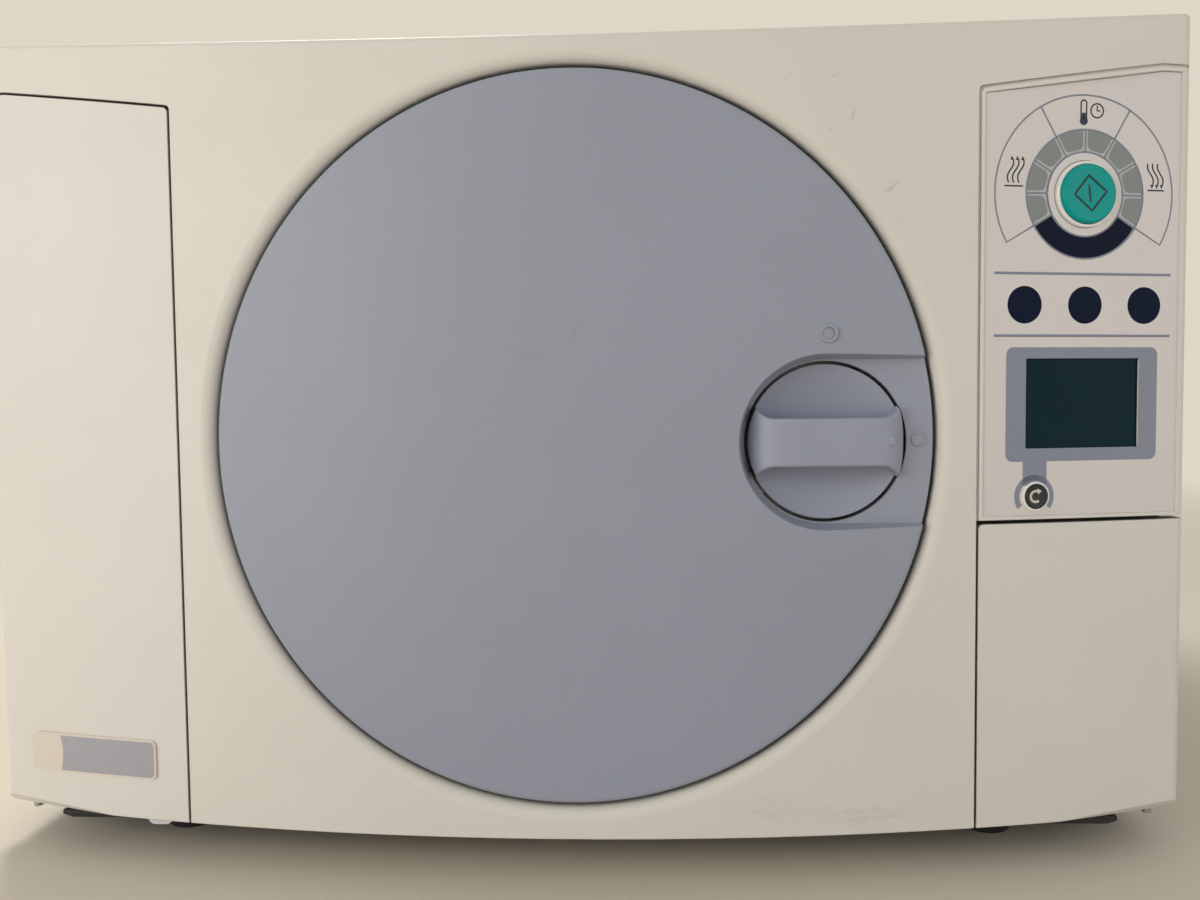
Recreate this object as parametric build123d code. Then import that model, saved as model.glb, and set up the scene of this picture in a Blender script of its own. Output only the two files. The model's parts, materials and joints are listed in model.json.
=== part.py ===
"""Benchtop steam autoclave with a round front door, built as separate pieces.

Millimetres. +Z is up, the front faces -Y, and the origin is under the middle of the
machine on the surface that it stands on.
"""
import os
from math import atan, cos, degrees, pi, radians, sin, sqrt, tan

from build123d import *

# Whole machine
WIDTH = 570.0
DEPTH = 560.0
FOOT_HEIGHT = 13.5
PLINTH_DROP = 6.5
FACE_HEIGHT = 355.0
TOP_RADIUS = 2630.0
BOW_RADIUS = 1220.0
CORNER_RADIUS = 6.0
SKIN = 3.5
SHEET = 1.5
FRONT = -DEPTH / 2
FACE_Z = FOOT_HEIGHT + PLINTH_DROP
TOP_MID = FACE_Z + FACE_HEIGHT
CASE_INSET = 2.0
SEAM_GAP = 1.2

# Round door, with depths measured back from the front of the bow
DOOR_RADIUS = 162.2
DOOR_UP = 178.3
DOOR_Z = FACE_Z + DOOR_UP
DOOR_GAP = 2.0
DOOR_EDGE_ROUND = 2.0
DOOR_RIM_DEPTH = 20.0
COVER_WALL = 3.4
LIP_ROUND = 6.0
LIP_WALL = 4.5
LIP_DEPTH = 21.0
LINER_SHEET = 2.0
POCKET_DEPTH = 14.0
POCKET_RADIUS = 37.0
POCKET_DRAFT = 13.0
KNOB_RADIUS = 34.8
KNOB_GAP = 1.5
KNOB_BACK = 24.5
KNOB_STEP = 19.5
KNOB_BOSS = 27.0
SCOOP_DEPTH = 22.0
GRIP_FRONT = 3.0
GRIP_HALF = 10.7
PLATE_FRONT = 36.0
PLATE_THICK = 12.0
PLATE_RADIUS = 138.0
SEAL_THICK = 3.8
SEAL_GAP = 0.2
FLANGE_FRONT = PLATE_FRONT + PLATE_THICK + SEAL_THICK + SEAL_GAP
FLANGE_THICK = 10.0
FLANGE_RADIUS = 142.0

# Locking rack and pinion
TOOTH_MODULE = 2.0
PINION_TEETH = 12
TOOTH_ADDENDUM = 1.4
TOOTH_DEDENDUM = 2.0
BACKLASH = 0.35
PINION_RADIUS = TOOTH_MODULE * PINION_TEETH / 2
KNOB_X = 114.2
KNOB_Z = DOOR_Z - 1.5
BOLT_FRONT = 28.0
BOLT_THICK = 6.0
BOLT_HEIGHT = 10.0
LINK_HEIGHT = 5.0
LINK_THICK = 3.0
RACK_TEETH = 5
BOLT_CLEAR = 0.4
BOLT_TIP = 139.5
KEEPER_GAP = 1.2
SPINDLE_RADIUS = 6.0
GUIDE_FOOT = 6.0
GUIDE_HALF = 9.0
LEFT_GUIDE_X = 108.0
RIGHT_GUIDE_X = 69.0
BOLT_Z = PINION_RADIUS + TOOTH_DEDENDUM + BOLT_HEIGHT / 2
SHAFT_CLEAR = 0.05

# Chamber
CHAMBER_RADIUS = 125.0
CHAMBER_DEPTH = 350.0
CHAMBER_WALL = 3.0
DOME_DEPTH = 28.0
JACKET_THICK = 20.0
HEATER_SPACE = 6.0
VALVE_X = 60.0
VALVE_Y = 50.0
VALVE_RADIUS = 10.0
BULKHEAD_DEPTH = 76.0
TRAY_COUNT = 4
TRAY_WIDTH = 170.0
TRAY_DEPTH = 300.0
TRAY_LIP = 14.0
TRAY_SHEET = 1.2
TRAY_CORNER = 10.0
TRAY_PITCH = 42.0
RACK_WIRE = 2.5

# Side doors and control panel
SEAM_X = 181.5
SIDE_TOP = 304.7
SIDE_SLOPE = 0.154
SLOPE_END = 270.0
AREA_ROUND = 2.5
SPLIT_UP = 139.7
SPLIT_GAP = 1.8
RIM_DEPTH = 11.0
DOOR_SKIN = 3.0
FACET_START = 223.0
FACET_RISE = 5.5
PIN_X = 273.0
PIN_INSET = 9.0
PIN_RADIUS = 2.0
PIN_SHOW = 3.5
BOSS_RADIUS = 5.0
BOSS_HEIGHT = 4.0
BRACKET_SHEET = 3.0
BRACKET_REACH = 19.0
TAB_INSET = 18.5
TAB_HALF = 6.0
TAB_THICK = 2.0
TAB_SHOW = 4.0
BADGE_NEAR = 198.6
BADGE_FAR = 267.0
BADGE_LOW = 19.4
BADGE_HIGH = 38.4
BADGE_ROUND = 3.0
BADGE_THICK = 0.9
HEM = 8.0
HEM_BACK = 4.0

# Control panel, in its own flat frame
PANEL_RECESS = 1.0
FILM = 0.6
BACKING_THICK = 6.0
OVERLAY_LEFT = 49.6
OVERLAY_TOP_GAP = 3.2
OVERLAY_RIGHT = 47.2
OVERLAY_BOTTOM = 142.2
DIAL_UP = 286.8
START_RADIUS = 13.3
RING_INNER = 18.8
RING_OUTER = 28.8
SEGMENTS = 8
RING_START = -30.0
SEGMENT_GAP = 1.2
STATUS_UP = 237.2
STATUS_PITCH = 29.8
STATUS_RADIUS = 8.4
DISPLAY_LEFT = 29.0
DISPLAY_RIGHT = 28.0
DISPLAY_BOTTOM = 172.4
DISPLAY_TOP = 213.4
WINDOW_DEPTH = 3.4
WINDOW_THICK = 1.8
CANCEL_X = -23.5
CANCEL_UP = 150.9
CANCEL_RADIUS = 5.5
BUTTON_CLEAR = 0.3
START_RING = 1.2
CANCEL_RING = 0.9
BUTTON_BACK = 10.0
BUTTON_FLANGE = 2.5
PLUNGER_GAP = 0.9
BOARD_FRONT = 16.0
BOARD_THICK = 1.6
START_TRAVEL = 2.5
CANCEL_TRAVEL = 1.2

# Main door hinge
HINGE_X = -188.0
HINGE_DEPTH = 26.0
HINGE_PIN_RADIUS = 4.0
BARREL_RADIUS = 7.0
ARM_LOW = 33.0
ARM_HIGH = 54.0
ARM_WALL = 8.0
EAR_THICK = 5.0
EAR_GAP = 0.5

# Water tank and service bay
TANK_INNER = 206.0
TANK_OUTER = 274.0
TANK_FRONT = 56.0
TANK_LENGTH = 260.0
TANK_LOW = 29.0
TANK_HIGH = 338.0
TANK_WALL = 3.0
TANK_ROUND = 5.0
CAP_RADIUS = 20.0
CAP_LENGTH = 11.5
CAP_GAP = 0.5
CAP_Z = 298.0
NECK_RADIUS = 15.0
NECK_LENGTH = 8.0
FILTER_UP = 92.0
FILTER_RADIUS = 27.0
FILTER_FRONT = 60.0
DRAIN_UP = 32.0
DRAIN_FRONT = 66.0
DRAIN_STEM = 4.0
DRAIN_KNOB = 14.0

# Rear
REAR_PANEL = 262.0
FAN_RADIUS = 38.0
FAN_X = 90.0
FAN_Z = 250.0
FAN_BLADES = 7
SWITCH_X = -200.0
INLET_X = -160.0
MAINS_Z = 70.0
ROCKER_TIP = 11.0
ROCKER_OUT = 1.0
OUTLET_REACH = DEPTH / 2

# Works behind the chamber
GENERATOR_X = -170.0
GENERATOR_Y = 160.0
GENERATOR_RADIUS = 34.0
GENERATOR_UP = 170.0
PUMP_Y = 205.0
PUMP_UP = 42.0
PUMP_RADIUS = 32.0
PIPE_RADIUS = 3.0
PIPE_BEND = 8.0
OUTLET_Z = 60.0
OUTLET_X = 180.0
OUTLET_PITCH = 40.0
OUTLET_RADIUS = 5.0
FUSE_RADIUS = 8.0

# Feet and plinth
FOOT_X = 204.0
FOOT_FRONT = 62.0
FOOT_REAR = 225.0
FOOT_RADIUS = 12.0
PLINTH_HALF = 254.0
PLINTH_FRONT = 30.0


def back(depth):
    """Y of a point this far behind the front of the bow."""
    return FRONT + depth


def block(x0, x1, y0, y1, z0, z1):
    """A box between these bounds, in either order."""
    return Pos((x0 + x1) / 2, (y0 + y1) / 2, (z0 + z1) / 2) * Box(abs(x1 - x0), abs(y1 - y0), abs(z1 - z0))


def rod(x, z, radius, y0, y1):
    """A round bar that lies along Y."""
    return Pos(x, (y0 + y1) / 2, z) * Rot(90, 0, 0) * Cylinder(radius, y1 - y0)


def cross_rod(y, z, radius, x0, x1):
    """A round bar that lies along X."""
    return Pos((x0 + x1) / 2, y, z) * Rot(0, 90, 0) * Cylinder(radius, x1 - x0)


def post(x, y, radius, z0, z1):
    """A round bar that stands along Z."""
    return Pos(x, y, (z0 + z1) / 2) * Cylinder(radius, z1 - z0)


def prism_y(points, y0, y1):
    """An outline of (x, z) points pushed from y0 back to y1."""
    sketch = Plane.XZ * make_face(Polyline(*points, close=True))
    return Pos(0, y1, 0) * extrude(sketch, y1 - y0)


def prism_z(points, z0, z1):
    """An outline of (x, y) points raised from z0 to z1."""
    return Pos(0, 0, z0) * extrude(make_face(Polyline(*points, close=True)), z1 - z0)


def bow_sag(x):
    """How far the bowed face falls back at this distance from the middle."""
    return BOW_RADIUS - sqrt(BOW_RADIUS**2 - x**2)


def bow(inset=0.0):
    """Everything behind the bowed face, moved in by the inset."""
    return Pos(0, FRONT + BOW_RADIUS, TOP_MID / 2) * Cylinder(BOW_RADIUS - inset, TOP_MID * 2)


def above_top(inset=0.0):
    """Everything above the hollow curve of the top, moved down by the inset."""
    return rod(0, TOP_MID + TOP_RADIUS, TOP_RADIUS + inset, -DEPTH, DEPTH)


def side_top(x):
    """Top of a side column's front area: it slopes up toward the outer corner, and ends level."""
    return FACE_Z + SIDE_TOP + SIDE_SLOPE * min(abs(x), SLOPE_END)


def side_area(side, x0, x1, z0, z1, top_gap, y0, y1):
    """A front area of a side column: level below, with the sloping top where z1 is None."""
    high0 = side_top(x0) - top_gap if z1 is None else z1
    high1 = side_top(x1) - top_gap if z1 is None else z1
    points = [(side * x0, z0), (side * x1, z0), (side * x1, high1)]
    if z1 is None:
        points.append((side * SLOPE_END, high1))
    face = make_face(Polyline(*points, (side * x0, high0), close=True))
    face = fillet([point for point in face.vertices() if is_near(point, side * x0, high0)], AREA_ROUND)
    return Pos(0, y1, 0) * extrude(Plane.XZ * face, y1 - y0)


def is_near(point, x, y):
    return abs(point.X - x) < 0.01 and abs(point.Y - y) < 0.01


PANEL_MID = (SEAM_X + WIDTH / 2) / 2
PANEL_TURN = degrees(atan((bow_sag(WIDTH / 2) - bow_sag(SEAM_X)) / (WIDTH / 2 - SEAM_X)))
PANEL = Pos(PANEL_MID, back((bow_sag(WIDTH / 2) + bow_sag(SEAM_X)) / 2), 0) * Rot(0, 0, PANEL_TURN)
PIN_Y = back(bow_sag(PIN_X) + PIN_INSET)
HINGE_Y = back(HINGE_DEPTH)
CASE_FRONT = PIN_Y + 10.5
CASE_HALF = WIDTH / 2 - CASE_INSET
BULKHEAD_Y = back(BULKHEAD_DEPTH)
DIAL_Z = FACE_Z + DIAL_UP
SPLIT_Z = FACE_Z + SPLIT_UP
BAY_X = (TANK_INNER + TANK_OUTER) / 2
CANCEL_Z = FACE_Z + CANCEL_UP
LINER_FRONT = DOOR_RIM_DEPTH - LINER_SHEET


def front_fascia():
    outer = block(-WIDTH / 2, WIDTH / 2, FRONT, CASE_FRONT - SEAM_GAP, FACE_Z, TOP_MID + 40) & bow()
    corners = outer.edges().filter_by(Axis.Z).group_by(Axis.Y)[0]
    outer = fillet(corners, CORNER_RADIUS)
    outer = outer - above_top()
    top_edges = outer.faces().sort_by(Axis.Z)[-1].edges()
    rear = top_edges.sort_by(Axis.Y)[-1]
    outer = fillet([edge for edge in top_edges if edge != rear], SKIN * 0.7)
    inner = block(-WIDTH / 2 + SKIN, WIDTH / 2 - SKIN, FRONT, CASE_FRONT, FACE_Z + SKIN, TOP_MID + 40)
    inner = (inner & bow(SKIN)) - above_top(SKIN)
    body = outer - inner
    for side in (-1, 1):
        body -= side_area(side, SEAM_X, WIDTH, 0, None, 0, FRONT - 1, CASE_FRONT)
    body += (rod(0, DOOR_Z, DOOR_RADIUS + DOOR_GAP + LIP_WALL, FRONT, back(LIP_DEPTH)) & bow(SKIN / 2))
    body -= rod(0, DOOR_Z, DOOR_RADIUS + DOOR_GAP, FRONT - 1, 0)
    rim = [edge for edge in body.edges() if is_front_circle(edge, DOOR_RADIUS + DOOR_GAP)]
    return fillet(rim, LIP_ROUND)


def is_front_circle(edge, radius):
    """True for the edge where a round opening about the door's axis meets the bowed face."""
    for share in (0.1, 0.3, 0.5, 0.7, 0.9):
        point = edge @ share
        if abs(sqrt(point.X**2 + (point.Z - DOOR_Z) ** 2) - radius) > 0.05:
            return False
        if abs(point.Y - back(bow_sag(point.X))) > 0.05:
            return False
    return True


def outer_casing():
    high = TOP_MID + 40
    shell = block(-CASE_HALF, CASE_HALF, CASE_FRONT, REAR_PANEL, FACE_Z, high) - above_top(CASE_INSET)
    inner = block(-CASE_HALF + SHEET, CASE_HALF - SHEET, CASE_FRONT - 1, REAR_PANEL + 1, 0, high)
    shell -= inner - above_top(CASE_INSET + SHEET)
    for side in (-1, 1):
        hem = block(side * (CASE_HALF - HEM), side * (CASE_HALF - 1), CASE_FRONT + HEM_BACK,
                    CASE_FRONT + HEM_BACK + SHEET, FACE_Z + 2, high)
        shell += hem - above_top(CASE_INSET + 1)
        for row in range(4):
            for slot in range(9):
                y = 60 + slot * 14
                z = 260 + row * 20
                shell -= block(side * (CASE_HALF - 4), side * (CASE_HALF + 4), y, y + 5, z, z + 13)
    return shell


def base_pan():
    half = PLINTH_HALF
    front = back(PLINTH_FRONT)
    tray = block(-half, half, front, REAR_PANEL - 2, FOOT_HEIGHT, FACE_Z - SHEET)
    tray = chamfer(tray.edges().group_by(Axis.Z)[0], 3)
    wide = CASE_HALF - SHEET
    deck = block(-wide, wide, CASE_FRONT + 3, REAR_PANEL, FACE_Z - SHEET, FACE_Z + 2)
    return tray + deck


def rubber_feet():
    feet = []
    for x in (-FOOT_X, FOOT_X):
        for y in (back(FOOT_FRONT), FOOT_REAR):
            foot = Pos(x, y, FOOT_HEIGHT / 2) * Cone(FOOT_RADIUS, FOOT_RADIUS + 3, FOOT_HEIGHT)
            feet.append(fillet(foot.edges().group_by(Axis.Z)[0], 1.5))
    return feet


def rear_panel():
    high = TOP_MID + 40
    panel = block(-CASE_HALF + 2, CASE_HALF - 2, REAR_PANEL - SHEET, REAR_PANEL, FACE_Z + 2, high)
    panel -= above_top(CASE_INSET + SHEET + 0.5)
    panel = Pos(0, SHEET, 0) * panel
    for ring in range(1, 4):
        outer = rod(FAN_X, FAN_Z, ring * FAN_RADIUS / 3 + 1.5, REAR_PANEL - 1, REAR_PANEL + 3)
        band = outer - rod(FAN_X, FAN_Z, ring * FAN_RADIUS / 3 - 5, REAR_PANEL - 1, REAR_PANEL + 3)
        for bar in range(4):
            band -= Pos(FAN_X, REAR_PANEL, FAN_Z) * Rot(0, 45 * bar, 0) * Box(2 * FAN_RADIUS + 9, 9, 4)
        panel -= band
    panel -= block(SWITCH_X - 14, SWITCH_X + 14, REAR_PANEL - 1, REAR_PANEL + 3, MAINS_Z - 11, MAINS_Z + 11)
    panel -= block(INLET_X - 14, INLET_X + 14, REAR_PANEL - 1, REAR_PANEL + 3, MAINS_Z - 10, MAINS_Z + 10)
    for row in range(5):
        for slot in range(8):
            x = -60 + slot * 12
            z = 180 + row * 30
            panel -= block(x, x + 5, REAR_PANEL - 1, REAR_PANEL + 3, z, z + 20)
    return panel


def front_bulkhead():
    half = CASE_HALF - SHEET - 1
    sheet = block(-half, half, BULKHEAD_Y, BULKHEAD_Y + 2, FACE_Z + 2, TOP_MID + 40) - above_top(SKIN + 1)
    sheet -= rod(0, DOOR_Z, CHAMBER_RADIUS + CHAMBER_WALL + 1, BULKHEAD_Y - 1, BULKHEAD_Y + 3)
    near = BULKHEAD_Y - 1
    far = BULKHEAD_Y + 3
    tank = block(-TANK_OUTER - 2, -TANK_INNER + 2, near, far, TANK_LOW - 2, TANK_HIGH + 2)
    bay = block(TANK_INNER, TANK_OUTER, near, far, FACE_Z + 8, SPLIT_Z - 20)
    return sheet - tank - bay


def chamber_vessel():
    front = back(FLANGE_FRONT)
    rear = front + CHAMBER_DEPTH
    outer = CHAMBER_RADIUS + CHAMBER_WALL
    shell = rod(0, DOOR_Z, outer, front + FLANGE_THICK, rear)
    shell += rod(0, DOOR_Z, FLANGE_RADIUS, front, front + FLANGE_THICK)
    dome_radius = (outer**2 + DOME_DEPTH**2) / (2 * DOME_DEPTH)
    ball = Pos(0, rear + DOME_DEPTH - dome_radius, DOOR_Z) * Sphere(dome_radius)
    shell += ball & rod(0, DOOR_Z, outer, rear - 1, rear + DOME_DEPTH)
    inner = rod(0, DOOR_Z, CHAMBER_RADIUS, front - 1, rear - 1)
    small = Pos(0, rear + DOME_DEPTH - dome_radius, DOOR_Z) * Sphere(dome_radius - CHAMBER_WALL)
    inner += small & rod(0, DOOR_Z, CHAMBER_RADIUS, rear - 2, rear + DOME_DEPTH)
    return shell - inner


def insulation_jacket():
    front = back(BULKHEAD_DEPTH + 4)
    rear = back(FLANGE_FRONT) + CHAMBER_DEPTH - 6
    inner = CHAMBER_RADIUS + CHAMBER_WALL + HEATER_SPACE
    outer = CHAMBER_RADIUS + CHAMBER_WALL + JACKET_THICK
    sleeve = rod(0, DOOR_Z, outer, front, rear) - rod(0, DOOR_Z, inner, front - 1, rear + 1)
    return sleeve - post(VALVE_X, VALVE_Y, VALVE_RADIUS + 2, DOOR_Z, TOP_MID)


def band_heater():
    bands = []
    inner = CHAMBER_RADIUS + CHAMBER_WALL
    for start in (-150, -40, 66):
        band = rod(0, DOOR_Z, inner + 4, start, start + 40) - rod(0, DOOR_Z, inner, start - 1, start + 41)
        bands.append(band)
    return bands


def chamber_saddles():
    saddles = []
    outer = CHAMBER_RADIUS + CHAMBER_WALL + JACKET_THICK
    for y in (-130, 80):
        saddle = block(-90, 90, y, y + 20, FACE_Z + 2, DOOR_Z - 90)
        saddle -= rod(0, DOOR_Z, outer, y - 1, y + 21)
        saddles.append(saddle - rod(0, FACE_Z + 2, 22, y - 1, y + 21))
    return saddles


def tray_levels():
    middle = (TRAY_COUNT - 1) / 2
    return [DOOR_Z - 6 + (level - middle) * TRAY_PITCH for level in range(TRAY_COUNT)]


def tray_rack():
    front = back(FLANGE_FRONT) + 18
    rear = front + TRAY_DEPTH + 6
    half = TRAY_WIDTH / 2 + 1
    low = tray_levels()[0] - 12
    high = tray_levels()[-1] + 26
    rack = None
    for y in (front, rear - 6):
        hoop = block(-half - 3, half + 3, y, y + 6, low - 3, high + 3)
        hoop -= block(-half, half, y - 1, y + 7, low, high)
        rack = hoop if rack is None else rack + hoop
    for z in tray_levels():
        for side in (-1, 1):
            rack += block(side * (half - 5), side * (half + 3), front, rear, z - 3, z - 0.5)
    reach = sqrt((CHAMBER_RADIUS - 0.5) ** 2 - (half * 0.6) ** 2)
    for side in (-1, 1):
        runner = block(side * half * 0.6 - 3, side * half * 0.6 + 3, front, rear, DOOR_Z - reach, low)
        runner &= rod(0, DOOR_Z, CHAMBER_RADIUS - 0.3, front, rear)
        rack += runner
    return rack


def trays():
    pans = []
    front = back(FLANGE_FRONT) + 21
    half = TRAY_WIDTH / 2 - 0.5
    for z in tray_levels():
        pan = block(-half, half, front, front + TRAY_DEPTH, z, z + TRAY_LIP)
        pan = fillet(pan.edges().filter_by(Axis.Z), TRAY_CORNER)
        inside = half - TRAY_SHEET
        rear = front + TRAY_DEPTH - TRAY_SHEET
        hollow = block(-inside, inside, front + TRAY_SHEET, rear, z + TRAY_SHEET, z + TRAY_LIP + 1)
        pan -= fillet(hollow.edges().filter_by(Axis.Z), TRAY_CORNER - TRAY_SHEET)
        for column in range(5):
            for row in range(8):
                pan -= post(-60 + column * 30, front + 30 + row * 34, 3, z - 1, z + 3)
        pans.append(pan)
    return pans


def keeper(side):
    """A hooked block on the flange that the locking bolt slides behind."""
    z = KNOB_Z - side * BOLT_Z
    half = BOLT_HEIGHT / 2 + 5
    x0 = side * (FLANGE_RADIUS + 0.3)
    x1 = side * 163
    front = back(DOOR_RIM_DEPTH + KEEPER_GAP)
    body = block(x0, x1, front, back(FLANGE_FRONT + FLANGE_THICK), z - half, z + half)
    slot = BOLT_HEIGHT / 2 + BOLT_CLEAR
    near = back(BOLT_FRONT - BOLT_CLEAR)
    far = back(BOLT_FRONT + BOLT_THICK + BOLT_CLEAR)
    body -= block(x0 - side, x1 - side * 2.5, near, far, z - slot, z + slot)
    foot = block(side * 130, x1, back(FLANGE_FRONT + FLANGE_THICK), back(FLANGE_FRONT + FLANGE_THICK + 5),
                 z - half, z + half)
    return body + foot - rod(0, DOOR_Z, CHAMBER_RADIUS + CHAMBER_WALL + 0.2, FRONT, 0)


def door_bracket():
    """Four ears on a back plate, two round each arm of the door."""
    plate = block(HINGE_X - 14, HINGE_X + 4, BULKHEAD_Y - 3, BULKHEAD_Y, DOOR_Z - 72, DOOR_Z + 72)
    for side in (-1, 1):
        for near in (ARM_LOW - EAR_GAP - EAR_THICK, ARM_HIGH + EAR_GAP):
            low, high = sorted((DOOR_Z + side * near, DOOR_Z + side * (near + EAR_THICK)))
            ear = post(HINGE_X, HINGE_Y, BARREL_RADIUS, low, high)
            ear += block(HINGE_X - BARREL_RADIUS, HINGE_X + 4, HINGE_Y, BULKHEAD_Y - 2, low, high)
            plate += ear
    return plate - post(HINGE_X, HINGE_Y, HINGE_PIN_RADIUS, DOOR_Z - 90, DOOR_Z + 90)


def hinge_pins():
    """Two pins of the main door, and an upper and a lower pin for each side door."""
    pins = door_pins(-1, left_roof()) + door_pins(1, right_roof())
    for side in (-1, 1):
        low, high = sorted((DOOR_Z + side * (ARM_LOW - 6), DOOR_Z + side * (ARM_HIGH + 8)))
        pins.append(post(HINGE_X, HINGE_Y, HINGE_PIN_RADIUS, low, high))
    return pins


def door_arm():
    """Two goosenecks from the hinge round the lip, joined across the pressure plate."""
    path = [(0, 0), (-7, 13), (-9, 27), (-7, 36), (0, 41), (10, 42), (24, 41), (35, 33), (40, 20), (41, 8)]
    places = [(HINGE_X + x, HINGE_Y + y) for x, y in path]
    places[-1] = (HINGE_X + 41, back(PLATE_FRONT) - ARM_WALL / 2)
    line = Polyline(*places, (-60, places[-1][1]))
    neck = trace(line, ARM_WALL)
    body = None
    for side in (-1, 1):
        low, high = sorted((DOOR_Z + side * ARM_LOW, DOOR_Z + side * ARM_HIGH))
        arm = Pos(0, 0, low) * extrude(neck, high - low)
        arm += post(HINGE_X, HINGE_Y, BARREL_RADIUS, low, high)
        body = arm if body is None else body + arm
    tie = block(-90, -60, back(PLATE_FRONT) - 4, back(PLATE_FRONT), DOOR_Z - ARM_HIGH, DOOR_Z + ARM_HIGH)
    tie -= block(-91, -59, back(0), back(BOLT_FRONT + BOLT_THICK + 0.3), KNOB_Z - 30, KNOB_Z + 30)
    body += tie
    return body - post(HINGE_X, HINGE_Y, HINGE_PIN_RADIUS + SHAFT_CLEAR, 0, TOP_MID)


def pocket(grow, floor):
    """The handle's recess: a half round that runs out at the right edge of the door."""
    radius = POCKET_RADIUS + grow
    outline = Circle(radius) + Pos(50, 0) * Rectangle(100, 2 * radius)
    outline = Plane.XZ * outline
    solid = extrude(outline, POCKET_DEPTH + 12, taper=-POCKET_DRAFT)
    return Pos(KNOB_X, back(floor), KNOB_Z) * solid


def door_cover():
    disc = rod(0, DOOR_Z, DOOR_RADIUS, FRONT - 1, back(DOOR_RIM_DEPTH)) & bow()
    rim = [edge for edge in disc.edges() if is_front_circle(edge, DOOR_RADIUS)]
    disc = fillet(rim, DOOR_EDGE_ROUND) - pocket(0, POCKET_DEPTH)
    inner = rod(0, DOOR_Z, DOOR_RADIUS - COVER_WALL, FRONT, back(DOOR_RIM_DEPTH + 1)) & bow(COVER_WALL)
    inner -= pocket(COVER_WALL, POCKET_DEPTH + COVER_WALL)
    cover = disc - inner
    cover -= rod(KNOB_X, KNOB_Z, KNOB_RADIUS + KNOB_GAP, FRONT, 0)
    ring_z = KNOB_Z + 47.8
    ring_y = back(bow_sag(KNOB_X))
    mark = rod(KNOB_X, ring_z, 4.2, ring_y - 0.6, ring_y + 2)
    cover += mark - rod(KNOB_X, ring_z, 2.7, ring_y - 3, ring_y + 2)
    dot = rod(KNOB_X + 41.7, KNOB_Z + 0.8, 3.3, back(POCKET_DEPTH - 0.7), back(POCKET_DEPTH + 1))
    dot -= rod(KNOB_X + 41.7, KNOB_Z + 0.8, 2.3, back(0), back(POCKET_DEPTH - 0.4))
    return cover + dot


def door_liner():
    front = back(LINER_FRONT)
    disc = rod(0, DOOR_Z, DOOR_RADIUS - COVER_WALL - 0.1, front, front + LINER_SHEET)
    disc -= rod(KNOB_X, KNOB_Z, KNOB_RADIUS + KNOB_GAP, front - 1, front + 5)
    for x, z in screw_places():
        disc -= rod(x, z, 2.2, front - 1, front + 5)
    return disc


def screw_places():
    places = []
    for turn in (40, 80, 100, 140, 220, 260, 280, 320):
        angle = radians(turn)
        places.append((112 * cos(angle), DOOR_Z + 112 * sin(angle)))
    return places


def cover_screws():
    """Standoff screws that hold the cover and its liner on the pressure plate."""
    screws = []
    for x, z in screw_places():
        top = back(LINER_FRONT)
        screw = rod(x, z, 2.0, top - 2, back(PLATE_FRONT) + 5.5)
        screw += rod(x, z, 4.5, top + LINER_SHEET, back(PLATE_FRONT))
        screw += rod(x, z, 4.0, top - 4, top)
        screws.append(screw)
    return screws


def pressure_plate():
    front = back(PLATE_FRONT)
    plate = rod(0, DOOR_Z, PLATE_RADIUS, front, front + PLATE_THICK)
    plate = fillet(plate.edges().group_by(Axis.Y)[0], 3)
    plate -= rod(0, DOOR_Z, 112, front + 7, front + PLATE_THICK + 1) - rod(0, DOOR_Z, 100, front, front + 20)
    plate -= rod(0, DOOR_Z, 92, front + 9, front + PLATE_THICK + 1)
    plate -= rod(KNOB_X, KNOB_Z, SPINDLE_RADIUS - 2 + SHAFT_CLEAR, front - 1, front + 5)
    for x, z in screw_places():
        plate -= rod(x, z, 2.0, front - 1, front + 6)
    return plate


def door_seal():
    front = back(PLATE_FRONT + PLATE_THICK)
    ring = rod(0, DOOR_Z, 136, front, front + SEAL_THICK) - rod(0, DOOR_Z, 126, front - 1, front + 9)
    rear = ring.edges().group_by(Axis.Y)[-1]
    return fillet(rear, 1.5)


def bolt_guides():
    """Two bridges on the pressure plate: one over the left bolt, one over both."""
    guides = []
    top = back(PLATE_FRONT)
    reach = BOLT_HEIGHT / 2 + BOLT_CLEAR
    high = KNOB_Z + BOLT_Z + reach
    for x, low in ((-LEFT_GUIDE_X, KNOB_Z + BOLT_Z - reach), (RIGHT_GUIDE_X, KNOB_Z - BOLT_Z - reach)):
        x0 = x - GUIDE_HALF
        x1 = x + GUIDE_HALF
        bridge = block(x0, x1, back(BOLT_FRONT - 3), top, low - GUIDE_FOOT, high + GUIDE_FOOT)
        bridge -= block(x0 - 1, x1 + 1, back(BOLT_FRONT - BOLT_CLEAR), top + 1, low, high)
        guides.append(bridge)
    return guides


def bolt_bar(side, x0, x1):
    """A full-height length of a locking bolt. The left bolt runs above the pinion, the right one below."""
    z = KNOB_Z - side * BOLT_Z
    half = BOLT_HEIGHT / 2
    return block(x0, x1, back(BOLT_FRONT), back(BOLT_FRONT + BOLT_THICK), z - half, z + half)


def rack_teeth(side):
    """The teeth that the pinion meets over the handle's quarter turn, and none beyond them."""
    pitch = pi * TOOTH_MODULE
    root = KNOB_Z - side * (PINION_RADIUS + TOOTH_DEDENDUM)
    crest = KNOB_Z - side * (PINION_RADIUS - TOOTH_ADDENDUM)
    sunk = root - side * 0.5
    slant = tan(radians(20))
    half = pitch / 4 - BACKLASH / 2
    wide = half + TOOTH_DEDENDUM * slant
    thin = half - TOOTH_ADDENDUM * slant
    teeth = None
    for tooth in range(RACK_TEETH):
        x = KNOB_X + side * (0.5 - tooth) * pitch
        points = [(x - wide, sunk), (x + wide, sunk), (x + thin, crest), (x - thin, crest)]
        solid = prism_y(points, back(BOLT_FRONT), back(BOLT_FRONT + BOLT_THICK))
        teeth = solid if teeth is None else teeth + solid
    return teeth


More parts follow.
